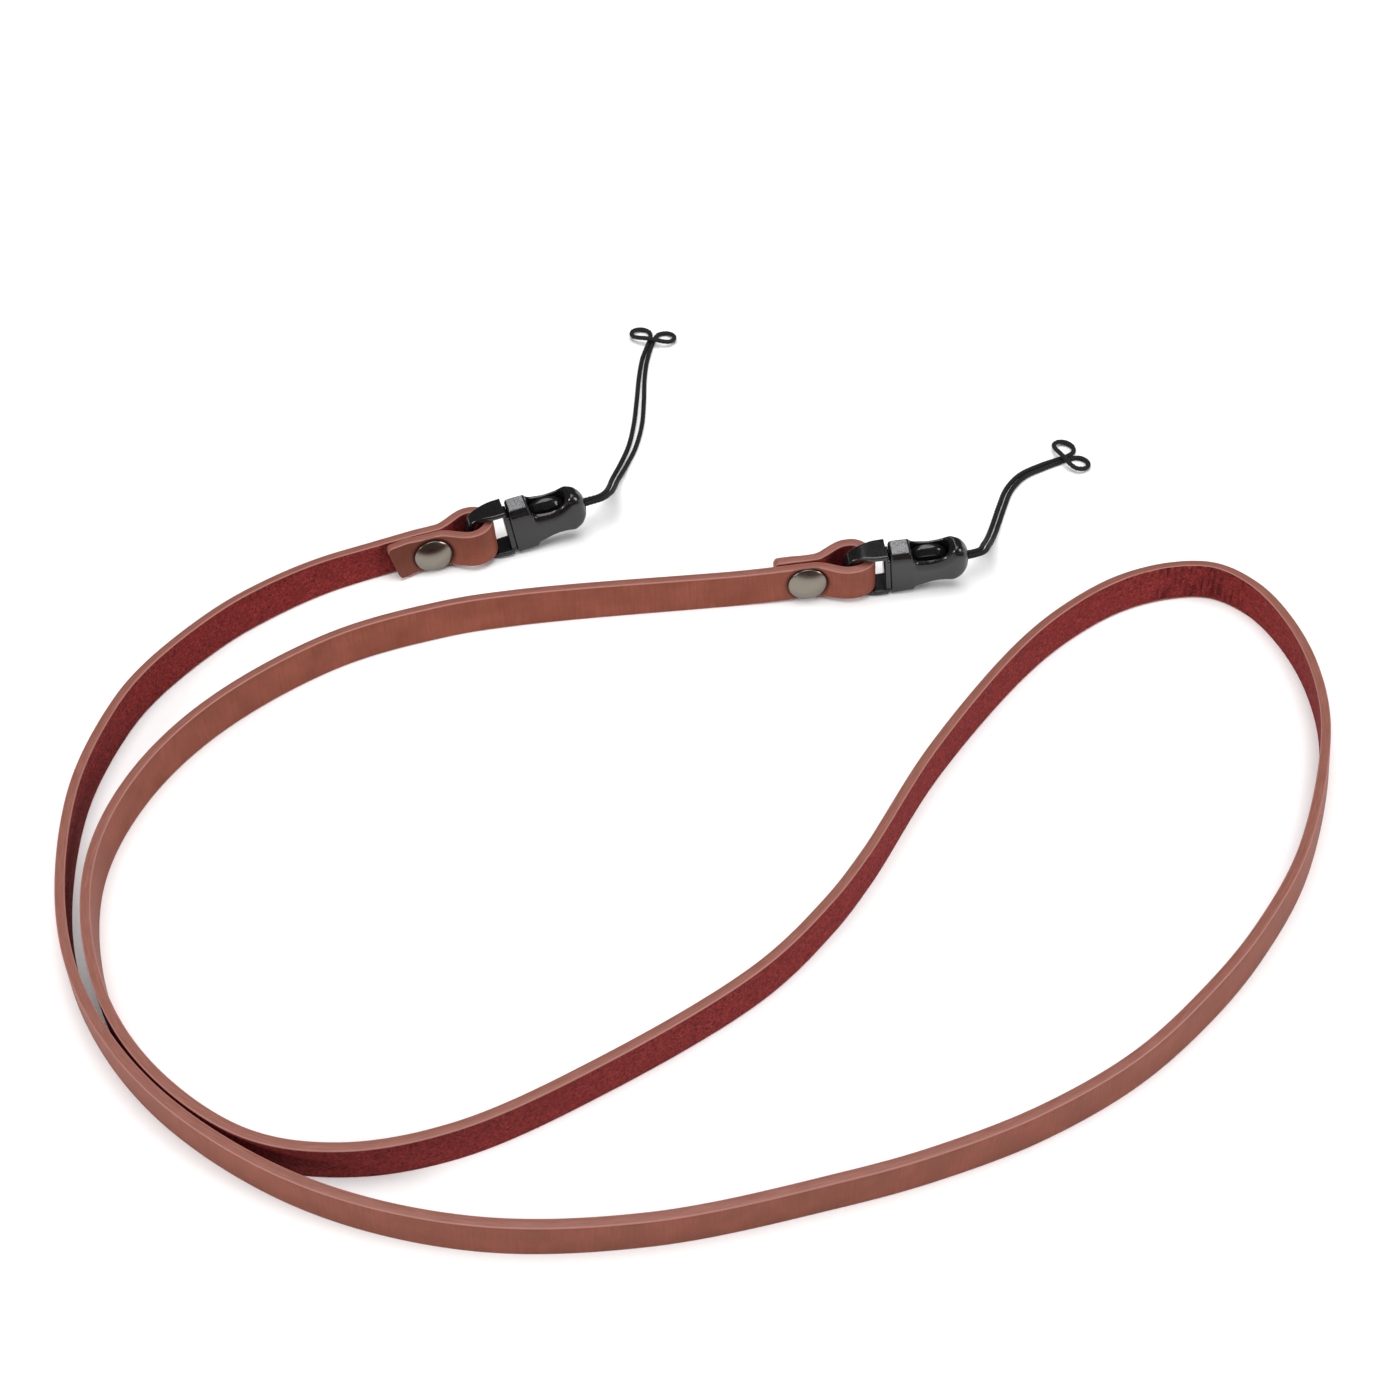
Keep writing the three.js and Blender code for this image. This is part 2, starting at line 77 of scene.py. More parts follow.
# Creases on the inside of tight bends. A bend is one over its radius: where the mesh starts to be fine
# and is finest, and where the creases start and are full. Their random line has a value every so many
# millimetres, and a new draw every so many values.
FINE_BENDS = (1 / 60, 1 / 45)
CREASE_BENDS = (1 / 48, 1 / 22)
CREASE_DEPTH = 0.34
CREASE_LEVELS = 5
CREASE_DELAY = 6.0
CREASE_VALUE_STEP = 0.1
CREASE_DRAW_STEP = 4.5
CREASE_SEED = 20

# Leather round a rivet, by the distance from its middle: where the layers stop being held flat, where
# the dent runs out, and how far along and aside the rivet acts at all
HELD_FLAT = (3.4, 5.6)
DENT_RUN = (3.6, 4.9)
DENT_DEPTH = 0.16
PRESS_REACH = 8
PRESS_ASIDE = 5

# Folded end, along the clip from the socket's mouth, negative towards the leather
RIVET_AT = -16.7
LAYERS_PART = -15.0
LAYERS_WIDE = -8.2
FLARE_FROM = -20.5
LIFT_FROM = -30.0
LIFT_EASE = 6.0
END_SLOPE = 4.0
RING_THICK = 5.1
MOUTH_HEIGHT = 6.5
LAYER_OFFSET = (STRAP_THICK + GAP) / 2
FOLD_RADIUS = RING_THICK / 2 + GAP + STRAP_THICK / 2

# How each end lies: its place and turns, the side of its flap (-1 near, 1 far), where flap and fold
# end, how the layers flare, spread and tuck, and how they are drawn in and twisted at the rivet
ENDS = [
    dict(side="left", x=-40.6, y=77.8, yaw=17, pitch=8, tip=0, flap=-1, flap_end=-25, fold_tip=-3.3,
         flare=0.7, spread=0, tuck=0, rivet_drop=0.6, drawn=0, strap_twist=0, flap_twist=7),
    dict(side="right", x=36, y=65.5, yaw=6, pitch=6, tip=6, flap=1, flap_end=-23, fold_tip=-2.8,
         flare=0, spread=0.8, tuck=1, rivet_drop=0, drawn=0.3, strap_twist=6, flap_twist=0),
]

# The lay of the strip's middle from the left end to the right end: x, y, and the degrees by which its
# top edge tips to the left
LAY = [
    (-76.9, 65.8, -5), (-88, 58.3, -8), (-96.3, 50.6, -7.5), (-106.9, 36.2, -6), (-111.6, 25.4, -4),
    (-115.3, 5, -1), (-112.2, -23, 2), (-104.2, -42.1, 0), (-89, -60.4, -1), (-65, -75.9, -1),
    (-38, -83.3, -1), (-10, -82.7, -2), (20, -75.7, -1), (35.3, -70.9, 0), (52.6, -63.5, 2),
    (69.1, -53.2, 4), (82.9, -40.4, 7.5), (94.2, -26.9, 8), (105.3, -8.7, 8.5), (114.8, 20, 9),
    (115.5, 36.5, 7), (112.8, 49.2, 4.5), (108.3, 58.2, 1.5), (101.1, 63.8, -4), (92.6, 63.9, -8),
    (82, 60.2, -9.5), (70.7, 52.2, -9.5), (59.9, 41.1, -9), (41.1, 14.5, -5.5), (27.4, -10.6, -5.5),
    (20.1, -21.7, -5.5), (8, -35.5, -5), (-17.5, -54, -2.5), (-40.9, -66.7, -1), (-59, -70.3, 1.5),
    (-74.5, -67.5, 1), (-92.3, -54.1, 1), (-103.7, -36.2, 1), (-109, -13, 0.5), (-105.4, 6.9, 2.5),
    (-94.3, 25.8, 4), (-73.4, 43.9, 4.5), (-53.1, 52.6, 4.5), (-38, 56.1, 4), (-2, 60.7, 1),
]

# The braid of the cords
CORD_DIAMETER = 1.0
BRAID_SIDES = 24
BRAID_STEP = 0.12
BRAID_RELIEF = 0.04
YARNS_ROUND = 4
YARN_PITCH = 0.9
CORD_SPAN_STEPS = 30

# The cords' middle line from the nose pocket to the hitch: x, y, z, and the strands' distance
CORD_ROUTES = {
    "left": dict(
        rows=[
            (-27.3, 81.85, 8.5, 1.15), (-24.9, 82.6, 8.75, 1.15), (-22.4, 84.3, 8.3, 1.15),
            (-21, 87.8, 6.6, 1.2), (-20.4, 92, 4.4, 1.2), (-19.8, 97.5, 2, 1.3),
            (-18.3, 103.5, 0.75, 1.4), (-16.5, 110, 0.55, 1.6), (-15.4, 117.5, 0.55, 1.8),
            (-15, 126, 0.55, 1.6), (-14.8, 134, 0.55, 1.3), (-14.2, 141, 0.55, 1.2),
        ],
        hitch=(-12.5, 149, 76),
    ),
    "right": dict(
        rows=[
            (49.9, 66.95, 7.95, 1.15), (52.4, 67.2, 8.2, 1.15), (54.7, 68.6, 7.8, 1.15),
            (56, 72, 6.2, 1.2), (57.2, 76, 3.8, 1.2), (58.6, 80.8, 1.6, 1.2),
            (60, 85.5, 0.65, 1.2), (61.6, 90.5, 0.55, 1.2), (63.6, 95.8, 0.55, 1.2),
            (66.8, 100.2, 0.55, 1.2), (71.3, 103.2, 0.55, 1.2),
        ],
        hitch=(78, 106.6, 27),
    ),
}

# Half of the hitch, from under the bight round its flat eye: ahead, aside, height
HITCH = [
    (0, 0.6, 0.55), (1.56, 1.24, 0.55), (2.2, 2.8, 0.6), (1.56, 4.36, 0.75), (0, 5, 1),
    (-1.56, 4.36, 1.25), (-2.2, 2.8, 1.55), (-2.3, 1.4, 1.75),
]
BIGHT = (-2.3, 0, 1.8)

# The socket as cross-sections: along, half thickness, low edge, near edge's height, far edge's height,
# how far each of these two is set in, and how far the corners are cut back. Past the collar the near
# wall dips into a scoop and the far wall stays up behind the lever.
SOCKET_FORM = [
    (0, 2.15, -5.5, 4.85, 5, 0.75, 0.6, 0.25), (0.25, 2.42, -5.84, 5.17, 5.32, 0.75, 0.6, 0.3),
    (0.5, 2.5, -5.9, 5.25, 5.4, 0.75, 0.6, 0.3), (3.5, 2.5, -5.9, 5.2, 5.38, 0.75, 0.6, 0.3),
    (4.05, 2.5, -5.9, 5, 5.28, 0.7, 0.55, 0.3), (4.35, 2.5, -5.86, 4.3, 4.95, 0.6, 0.5, 0.3),
    (4.6, 2.48, -5.62, 3.2, 4.6, 0.5, 0.4, 0.3), (4.9, 2.44, -5.18, 2.3, 4.35, 0.4, 0.35, 0.3),
    (5.5, 2.4, -5, 1.7, 4.1, 0.35, 0.3, 0.3), (6.5, 2.36, -4.8, 1.4, 3.9, 0.3, 0.25, 0.3),
    (8, 2.28, -4.5, 1.2, 3.7, 0.3, 0.25, 0.3), (9.6, 2.25, -4.4, 1.3, 3.75, 0.3, 0.25, 0.3),
    (11, 2.32, -4.5, 1.9, 3.9, 0.35, 0.3, 0.35), (12, 2.42, -4.65, 2.8, 4.2, 0.45, 0.45, 0.4),
    (12.7, 2.48, -4.75, 3.6, 4.35, 0.6, 0.6, 0.5), (13.3, 2.48, -4.72, 4.1, 4.3, 0.8, 0.8, 0.7),
    (14.2, 2.35, -4.4, 3.9, 3.95, 0.9, 0.9, 0.9), (15, 2.05, -3.6, 3.1, 3.15, 0.85, 0.85, 0.9),
    (15.6, 1.5, -2.5, 2.1, 2.1, 0.6, 0.6, 0.7), (15.95, 0.7, -1, 0.95, 0.95, 0.25, 0.25, 0.4),
]
MOUTH_SIDE = [(-1, -3.9), (4.7, -3.9), (4.7, 3.6), (-1, 3.6)]
MOUTH_HALF = 1.45
SLOT_PLAN = [(4.4, -1.45), (12.2, -1.45), (12.2, 1.65), (4.4, 1.65)]
SLOT_CORNERS = (0.2, 1.35, 1.35, 0.2)
SLOT_FLOOR, SLOT_OPEN = -0.8, 9
POCKET_SIDE = [(13.8, -0.8), (17, -0.8), (17, 0.8), (13.8, 0.8)]
POCKET_HALF = 1.375

# The lever and the tongue reach from the shoulder into the socket, the lever set back towards the far
# wall: along, half thickness, low edge, high edge, corner
LEVER_ASIDE = 0.4
LEVER_FORM = [
    (-0.3, 0.8, 0.6, 2.4, 0.3), (3.6, 0.8, 0.6, 2.4, 0.3), (4.6, 1, 0.4, 2.6, 0.35),
    (5.5, 1.08, 0.2, 3.2, 0.4), (6.8, 1.1, 0, 3.55, 0.45), (8, 1.1, -0.1, 3.6, 0.45),
    (9.2, 1.1, -0.1, 3.45, 0.45), (10.4, 1.08, -0.2, 2.9, 0.45), (11.2, 1, -0.3, 2.2, 0.4),
    (11.7, 0.8, -0.3, 1.6, 0.3),
]
TONGUE_FORM = [
    (-0.3, 0.9, -3.3, -0.7, 0.3), (2, 0.9, -3.3, -0.7, 0.3), (5, 0.9, -3.2, -0.8, 0.3),
]
SHOULDER_FORM = [
    (-1.1, 2.05, -4.65, 4.6, 0.2), (-0.95, 2.2, -4.8, 4.75, 0.3), (-0.7, 2.2, -4.8, 4.75, 0.3),
    (-0.55, 2.2, -4.3, 3.8, 0.3), (-0.15, 2.2, -4.3, 3.8, 0.3), (-0.03, 2.1, -4.2, 3.7, 0.25),
]

# Clip ring: a bow whose round end lies between the leather layers
RING_FOOT = -0.65
RING_START = -2.4
RING_REACH = 6.1
RING_RISE = 5.2
RING_FULLNESS = 3.7
RING_WALL = 1.1
RING_CORNER = 0.36
RING_POINTS = 61
RING_STEP = 0.3
# Towards the fold the bow narrows on each side by this much, between these distances.
RING_NARROWING = 1.1
RING_NARROWS = (2.2, 8.2)

# Grip pad on the socket's collar
PAD_FROM, PAD_TO = 0.4, 3.85
PAD_NEAR, PAD_FAR = -1.65, 1.8
PAD_NEAR_LEVEL, PAD_FAR_LEVEL = 5.3, 5.43
PAD_CELLS = 26
PAD_RELIEF = 0.09
PAD_RIM_DROP = 0.12

# Double-cap rivet
CAP_RADIUS = 3.9
CAP_DOME = 1.05
BACK_RADIUS = 3.3
BACK_DOME = 0.6
CAP_SIDES = 72
CAP_MIDDLE = 0.004
# The cap's foot stands in from its rim, first at the leather and then where the undercut ends.
FOOT_IN, UNDERCUT_IN = 0.7, 0.6
UNDERCUT_HEIGHT = 0.2
RIM_HEIGHT = 0.46
RIM_ROUND = 0.1
RIM_TURNS = (-70, -40, -10, 20, 45)
DOME_STEPS = 16
DOME_POWER = 2.1

# Room light, and the softboxes in metres and watts: place, size, power
ROOM_LIGHT = 0.09
SOFTBOXES = {
    "overhead_softbox": ((0.05, 0.12, 1.1), (1.1, 0.9), 12.6),
    "overhead_strip": ((-0.15, -0.35, 1.0), (0.8, 0.04), 2),
    "front_left_softbox": ((-1.05, -0.68, 0.6), (0.6, 0.2), 9.5),
    "front_right_softbox": ((1.12, -0.36, 0.5), (0.5, 0.5), 7.2),
}
FLOOR_HALF = 3000


# Curves and meshes

def spline(knots, per_span):
    """A smooth curve through the knots, in any number of columns, evenly spaced in each span."""
    knots = np.asarray(knots, float)
    ends = [2 * knots[0] - knots[1], 2 * knots[-1] - knots[-2]]
    p = np.vstack([ends[:1], knots, ends[1:]])
    t = np.linspace(0, 1, per_span, endpoint=False)[:, None]
    spans = []
    for a, b, c, d in zip(p, p[1:], p[2:], p[3:]):
        ab, bc, cd = (max(np.linalg.norm(v) ** 0.5, 1e-4) for v in (b - a, c - b, d - c))
        leave = bc * ((b - a) / ab - (c - a) / (ab + bc) + (c - b) / bc)
        arrive = bc * ((c - b) / bc - (d - b) / (bc + cd) + (d - c) / cd)
        spans.append(
            b * (2 * t**3 - 3 * t**2 + 1) + leave * (t**3 - 2 * t**2 + t)
            + c * (3 * t**2 - 2 * t**3) + arrive * (t**3 - t**2)
        )
    return np.vstack(spans + [knots[-1:]])


def travelled(points):
    return np.concatenate([[0], np.cumsum(np.linalg.norm(np.diff(points, axis=0), axis=1))])


def graded(points, spacing):
    """The same line with its points that far apart, with a spacing for each place on it."""
    steps = np.diff(travelled(points)) / (spacing[1:] + spacing[:-1]) * 2
    share = np.concatenate([[0], np.cumsum(steps)])
    marks = np.linspace(0, share[-1], max(2, round(share[-1]) + 1))
    return np.stack([np.interp(marks, share, column) for column in points.T], 1)


def evenly(points, step):
    return graded(points, np.full(len(points), step))


def unit(vectors):
    return vectors / np.linalg.norm(vectors, axis=-1, keepdims=True)


def smooth_step(value, low, high):
    t = np.clip((value - low) / (high - low), 0, 1)
    return t * t * (3 - 2 * t)


def soft_noise(count, spacing, seed):
    """A seeded smooth random line of that many values, between about -1 and 1."""
    draws = np.random.default_rng(seed).uniform(-1, 1, int(count / spacing) + 4)
    knots = spline(draws[:, None], 8)[:, 0]
    return np.interp(np.arange(count) / spacing * 8, np.arange(len(knots)), knots)


def placed(points, matrix):
    points = np.asarray(points, float)
    return points @ matrix[:3, :3].T + matrix[:3, 3]


def turned(x, y, z, yaw, pitch, roll):
    """The frame at a point, turned about Z, then raised at its front, then rolled to the near side."""
    cy, sy = math.cos(math.radians(yaw)), math.sin(math.radians(yaw))
    cp, sp = math.cos(math.radians(pitch)), math.sin(math.radians(pitch))
    cr, sr = math.cos(math.radians(roll)), math.sin(math.radians(roll))
    about_z = np.array([[cy, -sy, 0], [sy, cy, 0], [0, 0, 1]])
    about_y = np.array([[cp, 0, -sp], [0, 1, 0], [sp, 0, cp]])
    about_x = np.array([[1, 0, 0], [0, cr, -sr], [0, sr, cr]])
    matrix = np.eye(4)
    matrix[:3, :3] = about_z @ about_y @ about_x
    matrix[:3, 3] = (x, y, z)
    return matrix


def make_piece(name, points, faces, materials, zones=None, attributes=None):
    mesh = bpy.data.meshes.new(name)
    mesh.from_pydata((np.asarray(points) * MM).tolist(), [], [list(map(int, f)) for f in faces])
    for material in materials:
        mesh.materials.append(material)
    if zones is not None:
        mesh.polygons.foreach_set("material_index", np.asarray(zones, np.int32))
    for key, values in (attributes or {}).items():
        layer = mesh.attributes.new(key, "FLOAT_VECTOR", "POINT")
        layer.data.foreach_set("vector", np.asarray(values, np.float32).ravel())
    mesh.validate()
    mesh.shade_smooth()
    piece = bpy.data.objects.new(name, mesh)
    bpy.context.scene.collection.objects.link(piece)
    return piece


def loft(rings):
    """Points and faces of a skin over rings of equal count, closed at its ends, facing outwards."""
    rings = np.asarray(rings, float)
    rows, columns = rings.shape[:2]
    points = rings.reshape(-1, 3)
    faces = []
    for i in range(rows - 1):
        a, b = i * columns, (i + 1) * columns
        for j in range(columns):
            k = (j + 1) % columns
            faces.append((a + j, a + k, b + k, b + j))
    corners = points[np.array(faces)] - points.mean(0)
    volume = np.einsum("ij,ij->", np.cross(corners[:, 0], corners[:, 1]), corners[:, 2])
    volume += np.einsum("ij,ij->", np.cross(corners[:, 0], corners[:, 2]), corners[:, 3])
    faces.append(tuple(range(columns))[::-1])
    faces.append(tuple((rows - 1) * columns + j for j in range(columns)))
    if volume < 0:
        faces = [face[::-1] for face in faces]
    return points, faces


def rounded(corners, cuts, arc_steps=5):
    """A closed outline whose corners are each cut back by a length and rounded off."""
    corners = np.asarray(corners, float)
    back, on = np.roll(corners, 1, 0) - corners, np.roll(corners, -1, 0) - corners
    shorter = np.minimum(np.linalg.norm(back, axis=1), np.linalg.norm(on, axis=1))
    cuts = np.minimum(cuts, 0.45 * shorter)[:, None]
    t = np.linspace(0, 1, arc_steps + 1)[:, None]
    arcs = []
    for corner, start, stop in zip(corners, corners + unit(back) * cuts, corners + unit(on) * cuts):
        arcs.append((1 - t) ** 2 * start + 2 * t * (1 - t) * corner + t**2 * stop)
    outline = []
    for arc, following in zip(arcs, arcs[1:] + arcs[:1]):
        # Points close to the corners keep the flat sides looking flat.
        side = following[0] - arc[-1]
        outline += [arc, arc[-1] + side * np.array([[0.05], [0.5], [0.95]])]
    return np.vstack(outline)


def formed(rows, section, per_span=8):
    """A body from a table of cross-sections in the clip's own frame; section draws one of them."""
    rings = []
    for along, *measures in spline(rows, per_span):
        outline = section(*measures)
        rings.append(np.column_stack([np.full(len(outline), along), outline]))
    return loft(rings)


def bar_section(half, low, high, cut):
    return rounded([(-half, low), (half, low), (half, high), (-half, high)], np.full(4, cut))


def lever_section(half, low, high, cut):
    """A bar whose top falls away towards the near side."""
    crown = [(half, high), (-0.1 * half, high - 0.1), (-half, high - 1.3)]
    return rounded([(-half, low), (half, low), *crown], np.full(5, cut))


def socket_section(half, low, near, far, near_in, far_in, cut):
    """Six corners: a slightly narrower foot, upright walls, and a top that slopes from far to near."""
    foot = 0.25
    shoulder = 1.4 * min(1, half / 2)
    corners = [
        (foot - half, low), (half - foot, low), (half, far - shoulder),
        (half - far_in, far), (near_in - half, near), (-half, near - shoulder),
    ]
    return rounded(corners, np.array([1.6, 1.6, 2.4, 1, 1, 2.4]) * cut)


def sideways_prism(side, half):
    """A straight-sided cutter from a side outline, as wide as twice the half."""
    side = np.array(side, float)
    return loft([
        np.column_stack([side[:, 0], np.full(len(side), y), side[:, 1]]) for y in (half, -half)
    ])


def upright_prism(plan, low, high):
    """A straight-sided cutter from an outline seen from above."""
    return loft([np.column_stack([plan, np.full(len(plan), z)]) for z in (low, high)])


def cut_away(piece, points, faces):
    """Takes a cutter's solid out of the piece, for good."""
    cutter = make_piece("cutter", points, faces, [])
    change = piece.modifiers.new("cut", "BOOLEAN")
    change.operation = "DIFFERENCE"
    change.solver = "EXACT"
    change.object = cutter
    depsgraph = bpy.context.evaluated_depsgraph_get()
    cut = bpy.data.meshes.new_from_object(piece.evaluated_get(depsgraph))
    piece.modifiers.clear()
    piece.data = cut
    bpy.data.objects.remove(cutter)


def crisp(piece, degrees):
    """Smooth shading that breaks at edges sharper than this."""
    piece.data.shade_smooth()
    piece.data.set_sharp_from_angle(angle=math.radians(degrees))


# Materials

def linear(code):
    """An sRGB hex colour as linear red, green, blue and alpha."""
    parts = [int(code[i:i + 2], 16) / 255 for i in (1, 3, 5)]
    return tuple(c / 12.92 if c <= 0.04045 else ((c + 0.055) / 1.055) ** 2.4 for c in parts) + (1.0,)


def add(material, kind, inputs, **settings):
    """Adds a node with its settings; each input is a value or another node's output."""
    tree = material.node_tree
    node = tree.nodes.new(kind)
    for name, value in settings.items():
        setattr(node, name, value)
    for name, value in inputs.items():
        if isinstance(value, bpy.types.NodeSocket):
            tree.links.new(value, node.inputs[name])
        else:
            node.inputs[name].default_value = value
    return node


def new_material(name):
    material = bpy.data.materials.new(name)
    material.use_nodes = True
    return material, material.node_tree.nodes["Principled BSDF"]


def connect(material, *pairs):
    for source, target in pairs:
        material.node_tree.links.new(source, target)


def drum_dyed_grain():
    """Smooth cowhide grain, dyed through and pressed: soft cloudy terracotta with faint crosswise
    draw lines from the splitting, a low waxy gloss, darker towards the left cut end, and painted shade
    round the rivet caps."""
    material, skin = new_material("drum_dyed_grain_leather")
    place = add(material, "ShaderNodeAttribute", {}, attribute_name="strip")
    # Draw lines stand about 0.5 mm apart and run across the strip.
    lines_at = add(material, "ShaderNodeVectorMath", {0: place.outputs["Vector"], 1: (2.0, 0.12, 0.0)},
                   operation="MULTIPLY")
    lines = add(material, "ShaderNodeTexNoise", {"Vector": lines_at.outputs[0], "Scale": 1.0,
                "Detail": 3.0, "Roughness": 0.6})
    clouds = add(material, "ShaderNodeTexNoise", {"Vector": place.outputs["Vector"], "Scale": 0.16,
                 "Detail": 4.0, "Roughness": 0.55})
    # Pores are drawn 0.3 mm apart, about twice their real spacing, so that they show.
    pores = add(material, "ShaderNodeTexVoronoi", {"Vector": place.outputs["Vector"], "Scale": 3.3})
    tone = add(material, "ShaderNodeMapRange", {"Value": clouds.outputs["Fac"], "From Min": 0.3,
               "From Max": 0.7})
    body = add(material, "ShaderNodeMix", {0: tone.outputs[0], 6: linear("#7A402F"),
               7: linear("#8D4E3E")}, data_type="RGBA")
    fine = add(material, "ShaderNodeMapRange", {"Value": lines.outputs["Fac"], "From Min": 0.35,
               "From Max": 0.75, "To Max": 0.4})
    lined = add(material, "ShaderNodeMix", {0: fine.outputs[0], 6: body.outputs[2],
                7: linear("#693526")}, data_type="RGBA")
    # The grain is darker towards the left cut end. Round the caps, where the leather is drawn in, it is
    # darkened by painted shade.
    offsets = add(material, "ShaderNodeSeparateXYZ", {0: place.outputs["Vector"]})
    darker_to_left_cut_end = add(material, "ShaderNodeMapRange", {"Value": offsets.outputs["X"], "From Min": 13.0,
                 "From Max": 6.0, "To Max": 0.5})
    # Painted shade round the rivet caps, by how far the grain is sunk there
    painted_cap_shade = add(material, "ShaderNodeMapRange", {"Value": offsets.outputs["Z"], "From Min": 0.85,
                   "From Max": 0.15, "To Max": 0.95})
    darker = add(material, "ShaderNodeMath", {0: darker_to_left_cut_end.outputs[0], 1: painted_cap_shade.outputs[0]},
                 operation="MAXIMUM")
    colour_with_painted_light = add(material, "ShaderNodeMix", {0: darker.outputs[0], 6: lined.outputs[2],
               7: linear("#4A281F")}, data_type="RGBA")
    relief = add(material, "ShaderNodeMath", {0: lines.outputs["Fac"], 1: 0.6, 2: 0.0},
                 operation="MULTIPLY_ADD")
    pitted = add(material, "ShaderNodeMath", {0: pores.outputs["Distance"], 1: 0.5,
                 2: relief.outputs[0]}, operation="MULTIPLY_ADD")
    bump = add(material, "ShaderNodeBump", {"Height": pitted.outputs[0], "Strength": 0.25,
               "Distance": 0.00005})
    worn = add(material, "ShaderNodeMapRange", {"Value": clouds.outputs["Fac"], "To Min": 0.46,
               "To Max": 0.62})
    connect(material, (colour_with_painted_light.outputs[2], skin.inputs["Base Color"]),
            (worn.outputs[0], skin.inputs["Roughness"]), (bump.outputs[0], skin.inputs["Normal"]))
    skin.inputs["Specular IOR Level"].default_value = 0.14
    return material


def split_flesh():
    """The split flesh side of the hide, dyed dark red: short raised fibres, lighter where they stand
    up and nearly black between them, with no gloss, and painted shade in the floors of the creases."""
    material, skin = new_material("split_flesh_side_leather")
    place = add(material, "ShaderNodeAttribute", {}, attribute_name="strip")
    # Fibre bundles are 0.3 to 0.6 mm across.
    fibres = add(material, "ShaderNodeTexNoise", {"Vector": place.outputs["Vector"], "Scale": 1.9,
                 "Detail": 5.0, "Roughness": 0.75, "Distortion": 0.6})
    nap = add(material, "ShaderNodeTexNoise", {"Vector": place.outputs["Vector"], "Scale": 0.3,
              "Detail": 3.0, "Roughness": 0.6})
    fleck = add(material, "ShaderNodeMapRange", {"Value": fibres.outputs["Fac"], "From Min": 0.36,
                "From Max": 0.68})
    cloud = add(material, "ShaderNodeMapRange", {"Value": nap.outputs["Fac"], "From Min": 0.3,
                "From Max": 0.7, "To Max": 0.5})
    raised = add(material, "ShaderNodeMix", {0: fleck.outputs[0], 6: linear("#400D10"),
                 7: linear("#A43C37")}, data_type="RGBA")
    clouded = add(material, "ShaderNodeMix", {0: cloud.outputs[0], 6: raised.outputs[2],
                  7: linear("#701E20")}, data_type="RGBA")
    # Painted shade: the floors of the creases, sunk in from the face, are painted darkest.
    offsets = add(material, "ShaderNodeSeparateXYZ", {0: place.outputs["Vector"]})
    sunk = add(material, "ShaderNodeMapRange", {"Value": offsets.outputs["Z"], "From Min": -0.74,
               "From Max": -0.6, "To Max": 0.65})
    colour_with_painted_light = add(material, "ShaderNodeMix", {0: sunk.outputs[0], 6: clouded.outputs[2],
               7: linear("#3A0B0E")}, data_type="RGBA")
    bump = add(material, "ShaderNodeBump", {"Height": fibres.outputs["Fac"], "Strength": 0.9,
               "Distance": 0.00022})
    connect(material, (colour_with_painted_light.outputs[2], skin.inputs["Base Color"]),
            (bump.outputs[0], skin.inputs["Normal"]))
    skin.inputs["Roughness"].default_value = 0.95
    skin.inputs["Specular IOR Level"].default_value = 0.2
    return material


def burnished_edge():
    """The cut edge, bevelled, dyed and rubbed smooth: warmer and paler than the grain, a little
    streaked along its length, with a soft polish and a painted highlight along its bevelled corners."""
    material, skin = new_material("burnished_edge_leather")
    place = add(material, "ShaderNodeAttribute", {}, attribute_name="strip")
    # Rubbing streaks are 4 mm long and 0.3 mm wide.
    streaks_at = add(material, "ShaderNodeVectorMath", {0: place.outputs["Vector"],
                     1: (0.25, 3.0, 3.0)}, operation="MULTIPLY")
    streaks = add(material, "ShaderNodeTexNoise", {"Vector": streaks_at.outputs[0], "Scale": 1.0,
                  "Detail": 4.0, "Roughness": 0.6})
    tone = add(material, "ShaderNodeMapRange", {"Value": streaks.outputs["Fac"], "From Min": 0.3,
               "From Max": 0.7})
    rubbed = add(material, "ShaderNodeMix", {0: tone.outputs[0], 6: linear("#78463A"),
                 7: linear("#89574C")}, data_type="RGBA")
    # Painted highlight: the bevelled corners, where both offsets from the middle are large, are painted
    # palest.
    offsets = add(material, "ShaderNodeVectorMath", {0: place.outputs["Vector"]}, operation="ABSOLUTE")
    both = add(material, "ShaderNodeVectorMath", {0: offsets.outputs[0], 1: (0.0, 1.0, 1.0)},
               operation="DOT_PRODUCT")
    corner = add(material, "ShaderNodeMapRange", {"Value": both.outputs["Value"], "From Min": 4.66,
                 "From Max": 4.75, "To Max": 0.6})
    colour_with_painted_light = add(material, "ShaderNodeMix", {0: corner.outputs[0], 6: rubbed.outputs[2],
               7: linear("#A8766E")}, data_type="RGBA")
    bump = add(material, "ShaderNodeBump", {"Height": streaks.outputs["Fac"], "Strength": 0.3,
               "Distance": 0.00006})
    connect(material, (colour_with_painted_light.outputs[2], skin.inputs["Base Color"]),
            (bump.outputs[0], skin.inputs["Normal"]))
    skin.inputs["Roughness"].default_value = 0.48
    skin.inputs["Specular IOR Level"].default_value = 0.3
    return material


